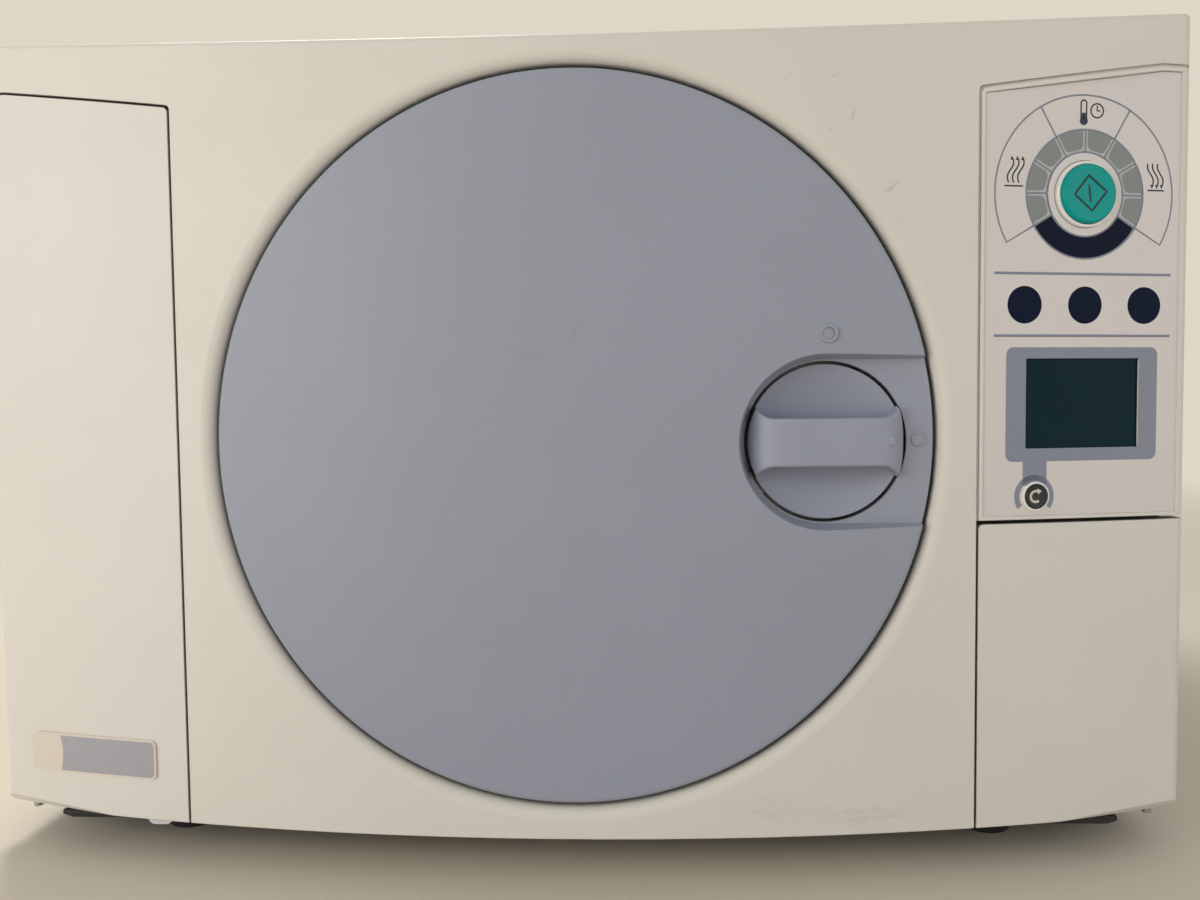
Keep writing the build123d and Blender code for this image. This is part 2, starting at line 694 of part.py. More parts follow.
def left_bolt():
    """A bolt end and a rack, each long enough for its guide, joined by a slim link."""
    throw = pi / 2 * PINION_RADIUS
    end = bolt_bar(-1, -BOLT_TIP, -LEFT_GUIDE_X + GUIDE_HALF + throw + 1)
    rack = bolt_bar(-1, RIGHT_GUIDE_X - GUIDE_HALF - 1, KNOB_X + (RACK_TEETH - 1) * pi * TOOTH_MODULE)
    z = KNOB_Z + BOLT_Z
    y = back(BOLT_FRONT + BOLT_THICK / 2)
    near = -LEFT_GUIDE_X + GUIDE_HALF + throw
    link = block(near, RIGHT_GUIDE_X - GUIDE_HALF, y - LINK_THICK / 2, y + LINK_THICK / 2,
                 z - LINK_HEIGHT / 2, z + LINK_HEIGHT / 2)
    return end + link + rack + rack_teeth(-1)


def right_bolt():
    throw = pi / 2 * PINION_RADIUS
    return bolt_bar(1, RIGHT_GUIDE_X - GUIDE_HALF - throw - 1, BOLT_TIP) + rack_teeth(1)


def lock_pinion():
    """Involute pinion with a tooth straight up at rest, opposite a gap in each rack."""
    base = PINION_RADIUS * cos(radians(20))
    tip = PINION_RADIUS + TOOTH_ADDENDUM
    root = PINION_RADIUS - TOOTH_DEDENDUM
    involute_at = tan(radians(20)) - radians(20)
    half = (pi * TOOTH_MODULE / 2 - BACKLASH) / (2 * PINION_RADIUS)
    flank = []
    for step in range(5):
        radius = base + (tip - base) * step / 4
        press = sqrt(max(radius**2 / base**2 - 1, 0))
        angle = press - atan(press)
        flank.append((radius, half + involute_at - angle))
    body = Circle(root + 0.01)
    tooth_points = [(root * 0.8, flank[0][1])] + flank
    left = [(r * sin(a), r * cos(a)) for r, a in tooth_points]
    right = [(-x, y) for x, y in reversed(left)]
    tooth = make_face(Polyline(*left, *right, close=True))
    for index in range(PINION_TEETH):
        body += Rot(0, 0, 360 / PINION_TEETH * index) * tooth
    gear = extrude(Plane.XZ * body, BOLT_THICK)
    gear = Pos(KNOB_X, back(BOLT_FRONT + BOLT_THICK), KNOB_Z) * gear
    return gear - rod(KNOB_X, KNOB_Z, SPINDLE_RADIUS, FRONT, 0)


def knob_spindle():
    spindle = rod(KNOB_X, KNOB_Z, SPINDLE_RADIUS, back(KNOB_BACK - 6), back(BOLT_FRONT + BOLT_THICK))
    return spindle + rod(KNOB_X, KNOB_Z, SPINDLE_RADIUS - 2, back(BOLT_FRONT), back(PLATE_FRONT + 4.5))


def door_knob():
    """A disc with a crowned grip bar and a scooped finger recess on each side of it."""
    rim = POCKET_DEPTH
    disc = rod(0, 0, KNOB_RADIUS, rim, KNOB_STEP)
    disc = fillet(disc.edges().group_by(Axis.Y)[0], 0.8) + rod(0, 0, KNOB_BOSS, KNOB_STEP - 1, KNOB_BACK)
    crown = Polyline((-KNOB_RADIUS, rim + 2), (-KNOB_RADIUS, rim - 0.5))
    side_front = GRIP_FRONT + 2.2
    crest = Spline((-KNOB_RADIUS, rim - 0.5), (-28, side_front), (0, GRIP_FRONT), (28, side_front),
                   (KNOB_RADIUS, rim - 0.5))
    down = Polyline((KNOB_RADIUS, rim - 0.5), (KNOB_RADIUS, rim + 2), (-KNOB_RADIUS, rim + 2))
    profile = make_face(crown + crest + down)
    bar = Pos(0, 0, -KNOB_RADIUS) * extrude(profile, 2 * KNOB_RADIUS)
    bar &= rod(0, 0, KNOB_RADIUS, GRIP_FRONT - 5, rim + 2)
    knob = disc + bar
    fall = SCOOP_DEPTH - rim - 0.8
    bowl_radius = (KNOB_RADIUS**2 + fall**2) / (2 * fall)
    bowl = Pos(0, SCOOP_DEPTH - bowl_radius, 0) * Sphere(bowl_radius)
    for side in (-1, 1):
        area = Pos(0, side * (GRIP_HALF + 40)) * RectangleRounded(64, 80, 9)
        knob -= Pos(0, KNOB_BACK, 0) * extrude(Plane.XZ * area, KNOB_BACK + 5) & bowl
        knob -= front_of_scoop(side, rim - 0.2)
    bar_edges = [edge for edge in knob.edges() if abs(abs(edge.center().Z) - GRIP_HALF) < 0.2
                 and edge.center().Y < rim - 5 and edge.length > 30]
    knob = fillet(bar_edges, 1.2)
    knob += rod(26.3, 0.3, 2.5, GRIP_FRONT + 1.2, GRIP_FRONT + 5)
    knob -= rod(0, 0, SPINDLE_RADIUS, KNOB_BACK - 6, KNOB_BACK + 1)
    return Pos(KNOB_X, FRONT, KNOB_Z) * knob


def front_of_scoop(side, level):
    """Clears the bar's solid from in front of the disc beyond the scoop's outline."""
    area = Pos(0, side * (KNOB_RADIUS + GRIP_HALF + 6.5)) * Rectangle(90, 2 * KNOB_RADIUS)
    return Pos(0, level, 0) * extrude(Plane.XZ * area, level + 8)


def rim_panel(side, z0, z1, top_gap, x_start):
    """A bowed pan with a turned rim all round, as the side doors and the panel have."""
    full = side_area(side, x_start, WIDTH / 2, z0, z1, top_gap, FRONT, 0)
    outer = full & bow()
    corner = outer.edges().filter_by(Axis.Z)
    far = [edge for edge in corner if abs(abs(edge.center().X) - WIDTH / 2) < 0.1 and edge.center().Y < -200]
    outer = fillet(far, CORNER_RADIUS)
    outer -= bow(RIM_DEPTH)
    high = None if z1 is None else z1 - DOOR_SKIN
    hollow = side_area(side, x_start + DOOR_SKIN, WIDTH / 2 - DOOR_SKIN, z0 + DOOR_SKIN, high,
                       top_gap + DOOR_SKIN, FRONT, 0)
    return outer - (hollow & bow(DOOR_SKIN))


def bottom_facet(side):
    """The bevel under a side door's lower edge, which grows toward the corner."""
    near = (side * FACET_START, back(bow_sag(FACET_START)), FACE_Z)
    far = (side * WIDTH / 2, back(bow_sag(WIDTH / 2)), FACE_Z + FACET_RISE)
    deep = (side * WIDTH / 2, back(bow_sag(WIDTH / 2)) + FACET_RISE, FACE_Z)
    edge_a = Vector(*far) - Vector(*near)
    edge_b = Vector(*deep) - Vector(*near)
    normal = edge_a.cross(edge_b).normalized()
    if normal.Z > 0:
        normal = normal * -1
    plane = Plane(origin=near, z_dir=normal)
    cutter = plane * Pos(0, 0, 20) * Box(200, 200, 40)
    return cutter & block(side * FACET_START, side * (WIDTH / 2 + 5), FRONT, 0, FACE_Z - 5, FACE_Z + 12)


def side_door(side, z1, top_gap):
    door = rim_panel(side, FACE_Z, z1, top_gap, SEAM_X + SEAM_GAP)
    if z1 is None:
        roof = side_top(PIN_X) - top_gap - DOOR_SKIN
    else:
        roof = z1 - DOOR_SKIN
    door += post(side * PIN_X, PIN_Y, BOSS_RADIUS, FACE_Z + 1, FACE_Z + DOOR_SKIN + 1)
    door += post(side * PIN_X, PIN_Y, BOSS_RADIUS, roof - BOSS_HEIGHT, roof + 1.5)
    door -= bottom_facet(side)
    if side < 0:
        notch = ARM_HIGH + EAR_GAP + EAR_THICK + 6
        notch_x = HINGE_X - BARREL_RADIUS - 3
        door -= block(notch_x, -SEAM_X, FRONT, 0, DOOR_Z - notch, DOOR_Z + notch) & bow(DOOR_SKIN)
        door -= tab_block(0.1, FACE_Z - 1, FACE_Z + DOOR_SKIN + 1)
    return door - post(side * PIN_X, PIN_Y, PIN_RADIUS + SHAFT_CLEAR, 0, roof + 0.5)


def door_pins(side, roof):
    low = post(side * PIN_X, PIN_Y, PIN_RADIUS, FACE_Z - PIN_SHOW, FACE_Z + DOOR_SKIN + 1.3 + BRACKET_SHEET)
    high = post(side * PIN_X, PIN_Y, PIN_RADIUS, roof - BOSS_HEIGHT - 0.3 - BRACKET_SHEET, roof)
    return [low, high]


def pin_bracket(side, z0):
    """A flat bracket that reaches the pin from the inner side and goes back to the bulkhead."""
    x = PIN_X
    y = PIN_Y
    reach = x - BRACKET_REACH
    points = [(x, y - 4), (reach - 6, y - 4), (reach - 6, BULKHEAD_Y),
              (reach + 6, BULKHEAD_Y), (reach + 6, y + 4), (x, y + 4)]
    points = [(side * px, py) for px, py in points]
    plate = prism_z(points, z0, z0 + BRACKET_SHEET) + post(side * x, y, 4, z0, z0 + BRACKET_SHEET)
    return plate - post(side * x, y, PIN_RADIUS, z0 - 1, z0 + 9)


def left_roof():
    return side_top(PIN_X) - SEAM_GAP - DOOR_SKIN


def right_roof():
    return SPLIT_Z - SPLIT_GAP / 2 - DOOR_SKIN


def hinge_brackets():
    brackets = [door_bracket()]
    floor = FACE_Z + DOOR_SKIN + 1.3
    for side, roof in ((-1, left_roof()), (1, right_roof())):
        brackets.append(pin_bracket(side, floor))
        brackets.append(pin_bracket(side, roof - BOSS_HEIGHT - 0.3 - BRACKET_SHEET))
    return brackets


def tab_block(grow, low, high):
    """The finger tab's strip behind the skin of the tank door."""
    x = -SEAM_X - TAB_INSET
    y = back(bow_sag(x)) + DOOR_SKIN + 1.0
    return block(x - TAB_HALF - grow, x + TAB_HALF + grow, y - grow, y + TAB_THICK + grow, low, high)


def finger_tab():
    tab = tab_block(0, FACE_Z - TAB_SHOW, FACE_Z + 14)
    bottom = tab.edges().filter_by(Axis.Y).group_by(Axis.Z)[0]
    return fillet(bottom, 3.5)


def badge_plate():
    plate = block(-BADGE_FAR, -BADGE_NEAR, FRONT, 0, FACE_Z + BADGE_LOW, FACE_Z + BADGE_HIGH)
    plate = fillet(plate.edges().filter_by(Axis.Y), BADGE_ROUND)
    return plate & (bow(-BADGE_THICK) - bow(0))


def overlay_outline(grow=0.0):
    low = FACE_Z + OVERLAY_BOTTOM - grow
    turn = cos(radians(PANEL_TURN))
    left = -OVERLAY_LEFT - grow
    right = OVERLAY_RIGHT + grow
    high0 = side_top(PANEL_MID + left * turn) - OVERLAY_TOP_GAP + grow
    high1 = side_top(PANEL_MID + right * turn) - OVERLAY_TOP_GAP + grow
    return [(left, low), (right, low), (right, high1), ((SLOPE_END - PANEL_MID) / turn, high1), (left, high0)]


def display_area(grow, y0, y1):
    return block(-DISPLAY_LEFT - grow, DISPLAY_RIGHT + grow, y0, y1,
                 FACE_Z + DISPLAY_BOTTOM - grow, FACE_Z + DISPLAY_TOP + grow)


def ring_pieces(grow, y0, y1):
    """The lenses round the start button: equal segments above and one long arc below."""
    pieces = []
    step = (180 - 2 * RING_START) / SEGMENTS
    ring = rod(0, DIAL_Z, RING_OUTER + grow, y0, y1) - rod(0, DIAL_Z, RING_INNER - grow, y0 - 1, y1 + 1)
    spans = [(RING_START + index * step, step) for index in range(SEGMENTS)]
    spans.append((RING_START - 120, 120))
    for start, sweep in spans:
        points = [(0, DIAL_Z)]
        for share in range(7):
            angle = radians(start + sweep * share / 6)
            points.append((40 * cos(angle), DIAL_Z + 40 * sin(angle)))
        piece = prism_y(points, y0 - 1, y1 + 1) & ring
        for turn in (start, start + sweep):
            spoke = Pos(25, 0, 0) * Box(50, y1 - y0 + 2, SEGMENT_GAP - 2 * grow)
            piece -= Pos(0, (y0 + y1) / 2, DIAL_Z) * Rot(0, -turn, 0) * spoke
        pieces.append(piece)
    return pieces


def panel_bezel():
    bezel = rim_panel(1, SPLIT_Z + SPLIT_GAP / 2, None, SEAM_GAP, SEAM_X + SEAM_GAP)
    backing = prism_y(overlay_outline(1.5), PANEL_RECESS, PANEL_RECESS + BACKING_THICK)
    bezel += PANEL * backing & block(SEAM_X + SEAM_GAP, WIDTH / 2 - 1, FRONT, 0, 0, TOP_MID)
    bezel -= PANEL * prism_y(overlay_outline(), -8, PANEL_RECESS)
    holes = rod(0, DIAL_Z, START_RADIUS + BUTTON_CLEAR, -5, 12)
    holes += rod(CANCEL_X, CANCEL_Z, CANCEL_RADIUS + BUTTON_CLEAR, -5, 12)
    holes += display_area(-2, -5, 12)
    holes += display_area(0, -5, PANEL_RECESS + WINDOW_DEPTH + WINDOW_THICK)
    return bezel - PANEL * holes


def panel_overlay():
    film = prism_y(overlay_outline(), PANEL_RECESS - FILM, PANEL_RECESS)
    film -= rod(0, DIAL_Z, START_RADIUS + BUTTON_CLEAR + START_RING, -5, 5)
    film -= rod(CANCEL_X, CANCEL_Z, CANCEL_RADIUS + BUTTON_CLEAR + CANCEL_RING, -5, 5)
    film -= display_area(0, -5, 5)
    for x in (-STATUS_PITCH, 0, STATUS_PITCH):
        film -= rod(x, FACE_Z + STATUS_UP, STATUS_RADIUS, -5, 5)
    for piece in ring_pieces(0, -5, 5):
        film -= piece
    return PANEL * film


def status_lenses():
    top = PANEL_RECESS - FILM
    return [PANEL * rod(x, FACE_Z + STATUS_UP, STATUS_RADIUS, top, PANEL_RECESS)
            for x in (-STATUS_PITCH, 0, STATUS_PITCH)]


def progress_lenses():
    return [PANEL * piece for piece in ring_pieces(0, PANEL_RECESS - FILM, PANEL_RECESS)]


def button_ring(x, z, inner, wide, rise):
    ring = rod(x, z, inner + wide, PANEL_RECESS - FILM - rise, PANEL_RECESS)
    ring = fillet(ring.edges().group_by(Axis.Y)[0], rise * 0.6)
    return PANEL * (ring - rod(x, z, inner, -9, 9))


def button_rings():
    return [button_ring(0, DIAL_Z, START_RADIUS + BUTTON_CLEAR, START_RING, 1.0),
            button_ring(CANCEL_X, CANCEL_Z, CANCEL_RADIUS + BUTTON_CLEAR, CANCEL_RING, 0.7)]


def push_button(x, z, radius, rise, dish):
    """A cap with a dished face, and a flange behind the panel that keeps it in."""
    front = PANEL_RECESS - FILM - rise
    cap = rod(x, z, radius, front, BUTTON_BACK)
    cap = fillet(cap.edges().group_by(Axis.Y)[0], min(rise * 0.6, 1.4))
    cap += rod(x, z, radius + 1.5, BUTTON_BACK - BUTTON_FLANGE, BUTTON_BACK)
    return PANEL * (cap - Pos(x, front - dish + 0.35, z) * Rot(90, 0, 0) * Sphere(dish))


def display_window():
    near = PANEL_RECESS + WINDOW_DEPTH
    return PANEL * display_area(-0.2, near, near + WINDOW_THICK)


def control_board():
    """The circuit board with its switches and chips, and the display module in front of it."""
    rear = BOARD_FRONT + BOARD_THICK
    board = block(-42, 38, BOARD_FRONT, rear, FACE_Z + 140, FACE_Z + 322)
    board += rod(0, DIAL_Z, 6, BUTTON_BACK + START_TRAVEL + PLUNGER_GAP, BOARD_FRONT)
    cancel_front = BUTTON_BACK + CANCEL_TRAVEL + PLUNGER_GAP
    board += rod(CANCEL_X, CANCEL_Z, 3.5, cancel_front, BOARD_FRONT)
    for x, z, wide, high in ((20, 240, 16, 16), (-20, 232, 12, 20), (10, 160, 24, 10), (-25, 310, 14, 8)):
        chip = Box(wide, 4.4, high)
        board += Pos(x, rear + 2.2, FACE_Z + z) * chip
    module = display_area(4, PANEL_RECESS + BACKING_THICK + 1.5, BOARD_FRONT - 4.5)
    for x in (-DISPLAY_LEFT + 1, DISPLAY_RIGHT - 4):
        for z in (DISPLAY_BOTTOM + 2, DISPLAY_TOP - 2):
            board += rod(x, FACE_Z + z, 1.5, BOARD_FRONT - 4.5, BOARD_FRONT)
    return [PANEL * board, PANEL * module]


def water_tank():
    front = back(TANK_FRONT)
    rear = front + TANK_LENGTH
    wall = TANK_WALL
    shell = block(-TANK_OUTER, -TANK_INNER, front, rear, TANK_LOW, TANK_HIGH)
    shell = fillet(shell.edges(), TANK_ROUND)
    shell += rod(-BAY_X, CAP_Z, NECK_RADIUS, front - NECK_LENGTH, front + wall)
    inside = block(-TANK_OUTER + wall, -TANK_INNER - wall, front + wall, rear - wall,
                   TANK_LOW + wall, TANK_HIGH - wall)
    shell -= inside
    return shell - rod(-BAY_X, CAP_Z, NECK_RADIUS - wall, front - NECK_LENGTH - 1, front + wall + 1)


def tank_cap():
    """A cap with grip grooves, over the neck of the tank."""
    rear = back(TANK_FRONT) - CAP_GAP
    front = rear - CAP_LENGTH
    cap = rod(-BAY_X, CAP_Z, CAP_RADIUS, front, rear)
    cap = fillet(cap.edges().group_by(Axis.Y)[0], 1.5)
    for index in range(18):
        angle = radians(20 * index)
        reach = CAP_RADIUS + 0.6
        cap -= rod(-BAY_X + reach * cos(angle), CAP_Z + reach * sin(angle), 1.5, front + 1, rear + 1)
    return cap - rod(-BAY_X, CAP_Z, NECK_RADIUS + 0.3, back(TANK_FRONT) - NECK_LENGTH - 1, rear + 1)


def air_filter():
    front = back(FILTER_FRONT)
    z = FACE_Z + FILTER_UP
    body = rod(BAY_X, z, FILTER_RADIUS, front, front + 18)
    body += rod(BAY_X, z, FILTER_RADIUS - 5, front - 4, front + 24)
    return body + rod(BAY_X, z, 6, front + 22, front + 70)


def drain_valve():
    front = back(DRAIN_FRONT)
    z = FACE_Z + DRAIN_UP
    body = rod(BAY_X, z, 11, front, front + 40) + cross_rod(front + 20, z, 6, BAY_X - 24, BAY_X + 24)
    return body - rod(BAY_X, z, DRAIN_STEM, front - 1, front + 14)


def drain_knob():
    front = back(DRAIN_FRONT)
    z = FACE_Z + DRAIN_UP
    knob = rod(BAY_X, z, DRAIN_KNOB, front - 10, front - 0.5)
    knob = fillet(knob.edges().group_by(Axis.Y)[0], 1.5)
    knob += block(BAY_X - 3, BAY_X + 3, front - 16, front - 8, z - DRAIN_KNOB + 3, z + DRAIN_KNOB - 3)
    return knob + rod(BAY_X, z, DRAIN_STEM - SHAFT_CLEAR, front - 1, front + 12)


def steam_generator():
    low = FACE_Z + 20
    body = post(GENERATOR_X, GENERATOR_Y, GENERATOR_RADIUS, low, FACE_Z + GENERATOR_UP)
    body = fillet(body.edges(), 8)
    for turn in range(3):
        angle = radians(120 * turn)
        reach = GENERATOR_RADIUS - 10
        x = GENERATOR_X + reach * cos(angle)
        y = GENERATOR_Y + reach * sin(angle)
        body += post(x, y, 4, FACE_Z + 2, low + 10)
    return body + post(GENERATOR_X, GENERATOR_Y, 5, FACE_Z + GENERATOR_UP - 2, FACE_Z + GENERATOR_UP + 20)


def vacuum_pump():
    z = FACE_Z + PUMP_UP
    pump = cross_rod(PUMP_Y, z, PUMP_RADIUS, -60, 40)
    pump += block(40, 78, PUMP_Y - 29, PUMP_Y + 29, z - 30, z + 30)
    pump += block(-50, 70, PUMP_Y - 30, PUMP_Y + 30, FACE_Z + 2, z - 30)
    for index in range(6):
        x = -50 + 14 * index
        pump += cross_rod(PUMP_Y, z, PUMP_RADIUS + 4, x, x + 3)
    return pump


def condenser():
    """A finned block with cross tubes, in the fan's stream."""
    core = block(FAN_X - 48, FAN_X + 48, 196, 200, FAN_Z - 48, FAN_Z + 48)
    for row in range(12):
        z = FAN_Z - 44 + row * 8
        core += block(FAN_X - 48, FAN_X + 48, 184, 216, z - 0.5, z + 0.5)
    for row in range(4):
        z = FAN_Z - 36 + row * 24
        core += cross_rod(200, z, 4, FAN_X - 54, FAN_X + 54)
    return core


def fan_frame():
    frame = block(FAN_X - 44, FAN_X + 44, 234, REAR_PANEL, FAN_Z - 44, FAN_Z + 44)
    frame -= rod(FAN_X, FAN_Z, FAN_RADIUS + 1.5, 233, REAR_PANEL + 1)
    for bar in range(2):
        frame += Pos(FAN_X, 236, FAN_Z) * Rot(0, 45 + 90 * bar, 0) * Box(2 * FAN_RADIUS + 8, 4, 5)
    frame += rod(FAN_X, FAN_Z, 12, 234, 238)
    frame = frame + rod(FAN_X, FAN_Z, 2, 238, 250)
    return frame & block(FAN_X - 44, FAN_X + 44, 234, REAR_PANEL, FAN_Z - 44, FAN_Z + 44)


def fan_rotor():
    hub = rod(0, 0, 13, 240, 258)
    for index in range(FAN_BLADES):
        blade = Pos(24, 249, 0) * Rot(35, 0, 0) * Box(26, 2, 17)
        hub += Rot(0, 360 / FAN_BLADES * index, 0) * blade
    hub &= rod(0, 0, FAN_RADIUS - 0.5, 240, 258)
    hub -= rod(0, 0, 2 + SHAFT_CLEAR, 239, 251)
    return Pos(FAN_X, 0, FAN_Z) * hub


def valve_block():
    body = block(150, 240, 60, 90, FACE_Z + 90, FACE_Z + 120)
    for index in range(3):
        x = 165 + 30 * index
        body += post(x, 75, 9, FACE_Z + 118, FACE_Z + 150)
        body += block(x - 11, x + 11, 62, 88, FACE_Z + 128, FACE_Z + 152)
    return body + block(154, 236, 84, 90, FACE_Z + 2, FACE_Z + 92)


def safety_valve():
    shell = CHAMBER_RADIUS + CHAMBER_WALL
    foot = DOOR_Z + sqrt(shell**2 - VALVE_X**2)
    body = post(VALVE_X, VALVE_Y, 6, foot - 6, foot + 22)
    body += post(VALVE_X, VALVE_Y, VALVE_RADIUS, foot + 10, foot + 36)
    return body - rod(0, DOOR_Z, shell, VALVE_Y - 20, VALVE_Y + 20)


def power_supply():
    box = block(-276, -206, 70, 230, FACE_Z + 90, FACE_Z + 190)
    box = fillet(box.edges().filter_by(Axis.Y), 3)
    for index in range(9):
        z = FACE_Z + 100 + index * 10
        box -= block(-277, -274, 90, 210, z, z + 4)
    return box + block(-270, -262, 80, 220, FACE_Z + 2, FACE_Z + 92)


def mains_switch():
    x = SWITCH_X
    face = REAR_PANEL + SHEET
    body = block(x - 14, x + 14, REAR_PANEL - 14, face, MAINS_Z - 11, MAINS_Z + 11)
    body += block(x - 16, x + 16, face, face + 2, MAINS_Z - 13, MAINS_Z + 13)
    body -= block(x - 10, x + 10, REAR_PANEL - 9, REAR_PANEL + 9, MAINS_Z - 7, MAINS_Z + 7)
    return body - rocker_pivot(SHAFT_CLEAR)


def rocker_pivot(grow):
    """The stub pins of the rocker, or the holes they turn in."""
    reach = 8.5 + grow
    return post(SWITCH_X, REAR_PANEL + ROCKER_OUT, 1.5 + grow, MAINS_Z - reach, MAINS_Z + reach)


def mains_rocker():
    """A rocker tipped to one side, about an upright axis through its middle."""
    points = [(-8, 3.8), (0, 2.2), (8, 3.8), (8, 0), (0, -4), (-8, 0)]
    rocker = prism_z(points, MAINS_Z - 6.6, MAINS_Z + 6.6)
    rocker = Pos(SWITCH_X, REAR_PANEL + ROCKER_OUT, 0) * Rot(0, 0, ROCKER_TIP) * rocker
    return rocker + rocker_pivot(0)


def mains_inlet():
    body = block(INLET_X - 14, INLET_X + 14, REAR_PANEL - 18, REAR_PANEL + SHEET, MAINS_Z - 10, MAINS_Z + 10)
    body += block(INLET_X - 22, INLET_X + 22, REAR_PANEL + SHEET, REAR_PANEL + 4, MAINS_Z - 13, MAINS_Z + 13)
    body -= block(INLET_X - 12, INLET_X + 12, REAR_PANEL - 14, REAR_PANEL + 5, MAINS_Z - 8, MAINS_Z + 8)
    for x, z in ((INLET_X - 7, MAINS_Z - 2), (INLET_X, MAINS_Z + 3), (INLET_X + 7, MAINS_Z - 2)):
        body += block(x - 1, x + 1, REAR_PANEL - 16, REAR_PANEL - 1, z - 2.5, z + 2.5)
    return body


def fuse_caps():
    caps = []
    face = REAR_PANEL + 9
    for x in (INLET_X + 42, INLET_X + 68):
        cap = rod(x, MAINS_Z, FUSE_RADIUS, REAR_PANEL + SHEET, face)
        cap = fillet(cap.edges().group_by(Axis.Y)[-1], 1)
        caps.append(cap - block(x - 6, x + 6, face - 1.5, face + 1, MAINS_Z - 0.8, MAINS_Z + 0.8))
    return caps


def drain_outlets():
    """Two hose tails on the rear panel, for the chamber drain and the tank overflow."""
    tails = []
    for x in (OUTLET_X, OUTLET_X + OUTLET_PITCH):
        tail = rod(x, OUTLET_Z, 2 * OUTLET_RADIUS, REAR_PANEL + SHEET, REAR_PANEL + 5)
        tail += rod(x, OUTLET_Z, OUTLET_RADIUS, REAR_PANEL + 4, OUTLET_REACH)
        for barb in range(2):
            y = OUTLET_REACH - 2 - barb * 5
            tail += Pos(x, y, OUTLET_Z) * Rot(90, 0, 0) * Cone(OUTLET_RADIUS + 1, OUTLET_RADIUS, 4)
        tails.append(tail - rod(x, OUTLET_Z, OUTLET_RADIUS - 2, REAR_PANEL - 1, OUTLET_REACH + 1))
    return tails


def dome_back(x, z):
    """Y just behind the chamber's domed end at this place."""
    outer = CHAMBER_RADIUS + CHAMBER_WALL
    dome_radius = (outer**2 + DOME_DEPTH**2) / (2 * DOME_DEPTH)
    rear = back(FLANGE_FRONT) + CHAMBER_DEPTH + DOME_DEPTH
    return rear - dome_radius + sqrt(dome_radius**2 - x**2 - (z - DOOR_Z) ** 2) + 1.2


def steam_pipes():
    """Copper lines from the generator and the pump's valve into the back of the chamber."""
    level = FACE_Z + 215
    low = DOOR_Z - 20
    routes = [
        [(GENERATOR_X, GENERATOR_Y, FACE_Z + GENERATOR_UP + 20), (GENERATOR_X, GENERATOR_Y, level),
         (-150, 195, level), (-70, 195, level), (-70, dome_back(-70, level), level)],
        [(0, dome_back(0, low), low), (0, 170, low), (60, 170, low - 40), (60, 170, FACE_Z + PUMP_UP + 38)],
    ]
    pipes = []
    for route in routes:
        path = FilletPolyline(*route, radius=PIPE_BEND)
        section = Plane(origin=route[0], z_dir=path % 0) * Circle(PIPE_RADIUS)
        pipes.append(sweep(section, path=path))
    return pipes


def casing_screws():
    """Slotted screws low on both sides of the casing and down the rear edges."""
    screws = []
    for side in (-1, 1):
        z = FACE_Z + 12
        inner, outer = sorted((side * CASE_HALF, side * (CASE_HALF + 1.8)))
        for y in (-200, 20, 240):
            slot = block(side * (CASE_HALF + 1), side * (CASE_HALF + 3), y - 3, y + 3, z - 0.5, z + 0.5)
            screws.append(cross_rod(y, z, 4, inner, outer) - slot)
        x = side * (CASE_HALF - 12)
        face = REAR_PANEL + SHEET
        for z in (FACE_Z + 30, FACE_Z + 180, FACE_Z + 330):
            slot = block(x - 3, x + 3, face + 1, face + 4, z - 0.5, z + 0.5)
            screws.append(rod(x, z, 4, face, face + 2) - slot)
    return screws


PIECES = {
    "front_fascia": front_fascia,
    "outer_casing": outer_casing,
    "base_pan": base_pan,
    "rubber_feet": rubber_feet,
    "rear_panel": rear_panel,
    "front_bulkhead": front_bulkhead,
    "chamber_vessel": chamber_vessel,
    "insulation_jacket": insulation_jacket,
    "band_heater": band_heater,
    "chamber_saddles": chamber_saddles,
    "tray_rack": tray_rack,
    "trays": trays,
    "bolt_keepers": lambda: [keeper(-1), keeper(1)],
    "hinge_brackets": hinge_brackets,
    "hinge_pins": hinge_pins,
    "door_arm": door_arm,
    "door_cover": door_cover,
    "door_liner": door_liner,
    "cover_screws": cover_screws,
    "pressure_plate": pressure_plate,
    "door_seal": door_seal,
    "bolt_guides": bolt_guides,
    "left_bolt": left_bolt,
    "right_bolt": right_bolt,
    "lock_pinion": lock_pinion,
    "knob_spindle": knob_spindle,
    "door_knob": door_knob,
    "tank_door": lambda: side_door(-1, None, SEAM_GAP),
    "finger_tab": finger_tab,
    "badge_plate": badge_plate,
    "service_door": lambda: side_door(1, SPLIT_Z - SPLIT_GAP / 2, 0),
    "panel_bezel": panel_bezel,
    "panel_overlay": panel_overlay,
    "status_lenses": status_lenses,
    "progress_lenses": progress_lenses,
    "button_rings": button_rings,
    "start_button": lambda: push_button(0, DIAL_Z, START_RADIUS, 3.0, 160),
    "cancel_button": lambda: push_button(CANCEL_X, CANCEL_Z, CANCEL_RADIUS, 1.6, 60),
    "display_window": display_window,
    "control_board": control_board,
    "water_tank": water_tank,
    "tank_cap": tank_cap,
    "air_filter": air_filter,
    "drain_valve": drain_valve,
    "drain_knob": drain_knob,
    "steam_generator": steam_generator,
    "vacuum_pump": vacuum_pump,
    "condenser": condenser,
    "fan_frame": fan_frame,
    "fan_rotor": fan_rotor,
    "valve_block": valve_block,
    "power_supply": power_supply,
    "mains_switch": mains_switch,
    "mains_rocker": mains_rocker,
    "mains_inlet": mains_inlet,
    "fuse_caps": fuse_caps,
    "drain_outlets": drain_outlets,
    "casing_screws": casing_screws,
    "safety_valve": safety_valve,
    "steam_pipes": steam_pipes,
}


def write_pieces():
    os.makedirs("parts", exist_ok=True)
    for name, make in PIECES.items():
        made = make()
        if isinstance(made, list):
            made = Compound(children=made)
        made.label = name
        export_step(made, f"parts/{name}.step")


write_pieces()
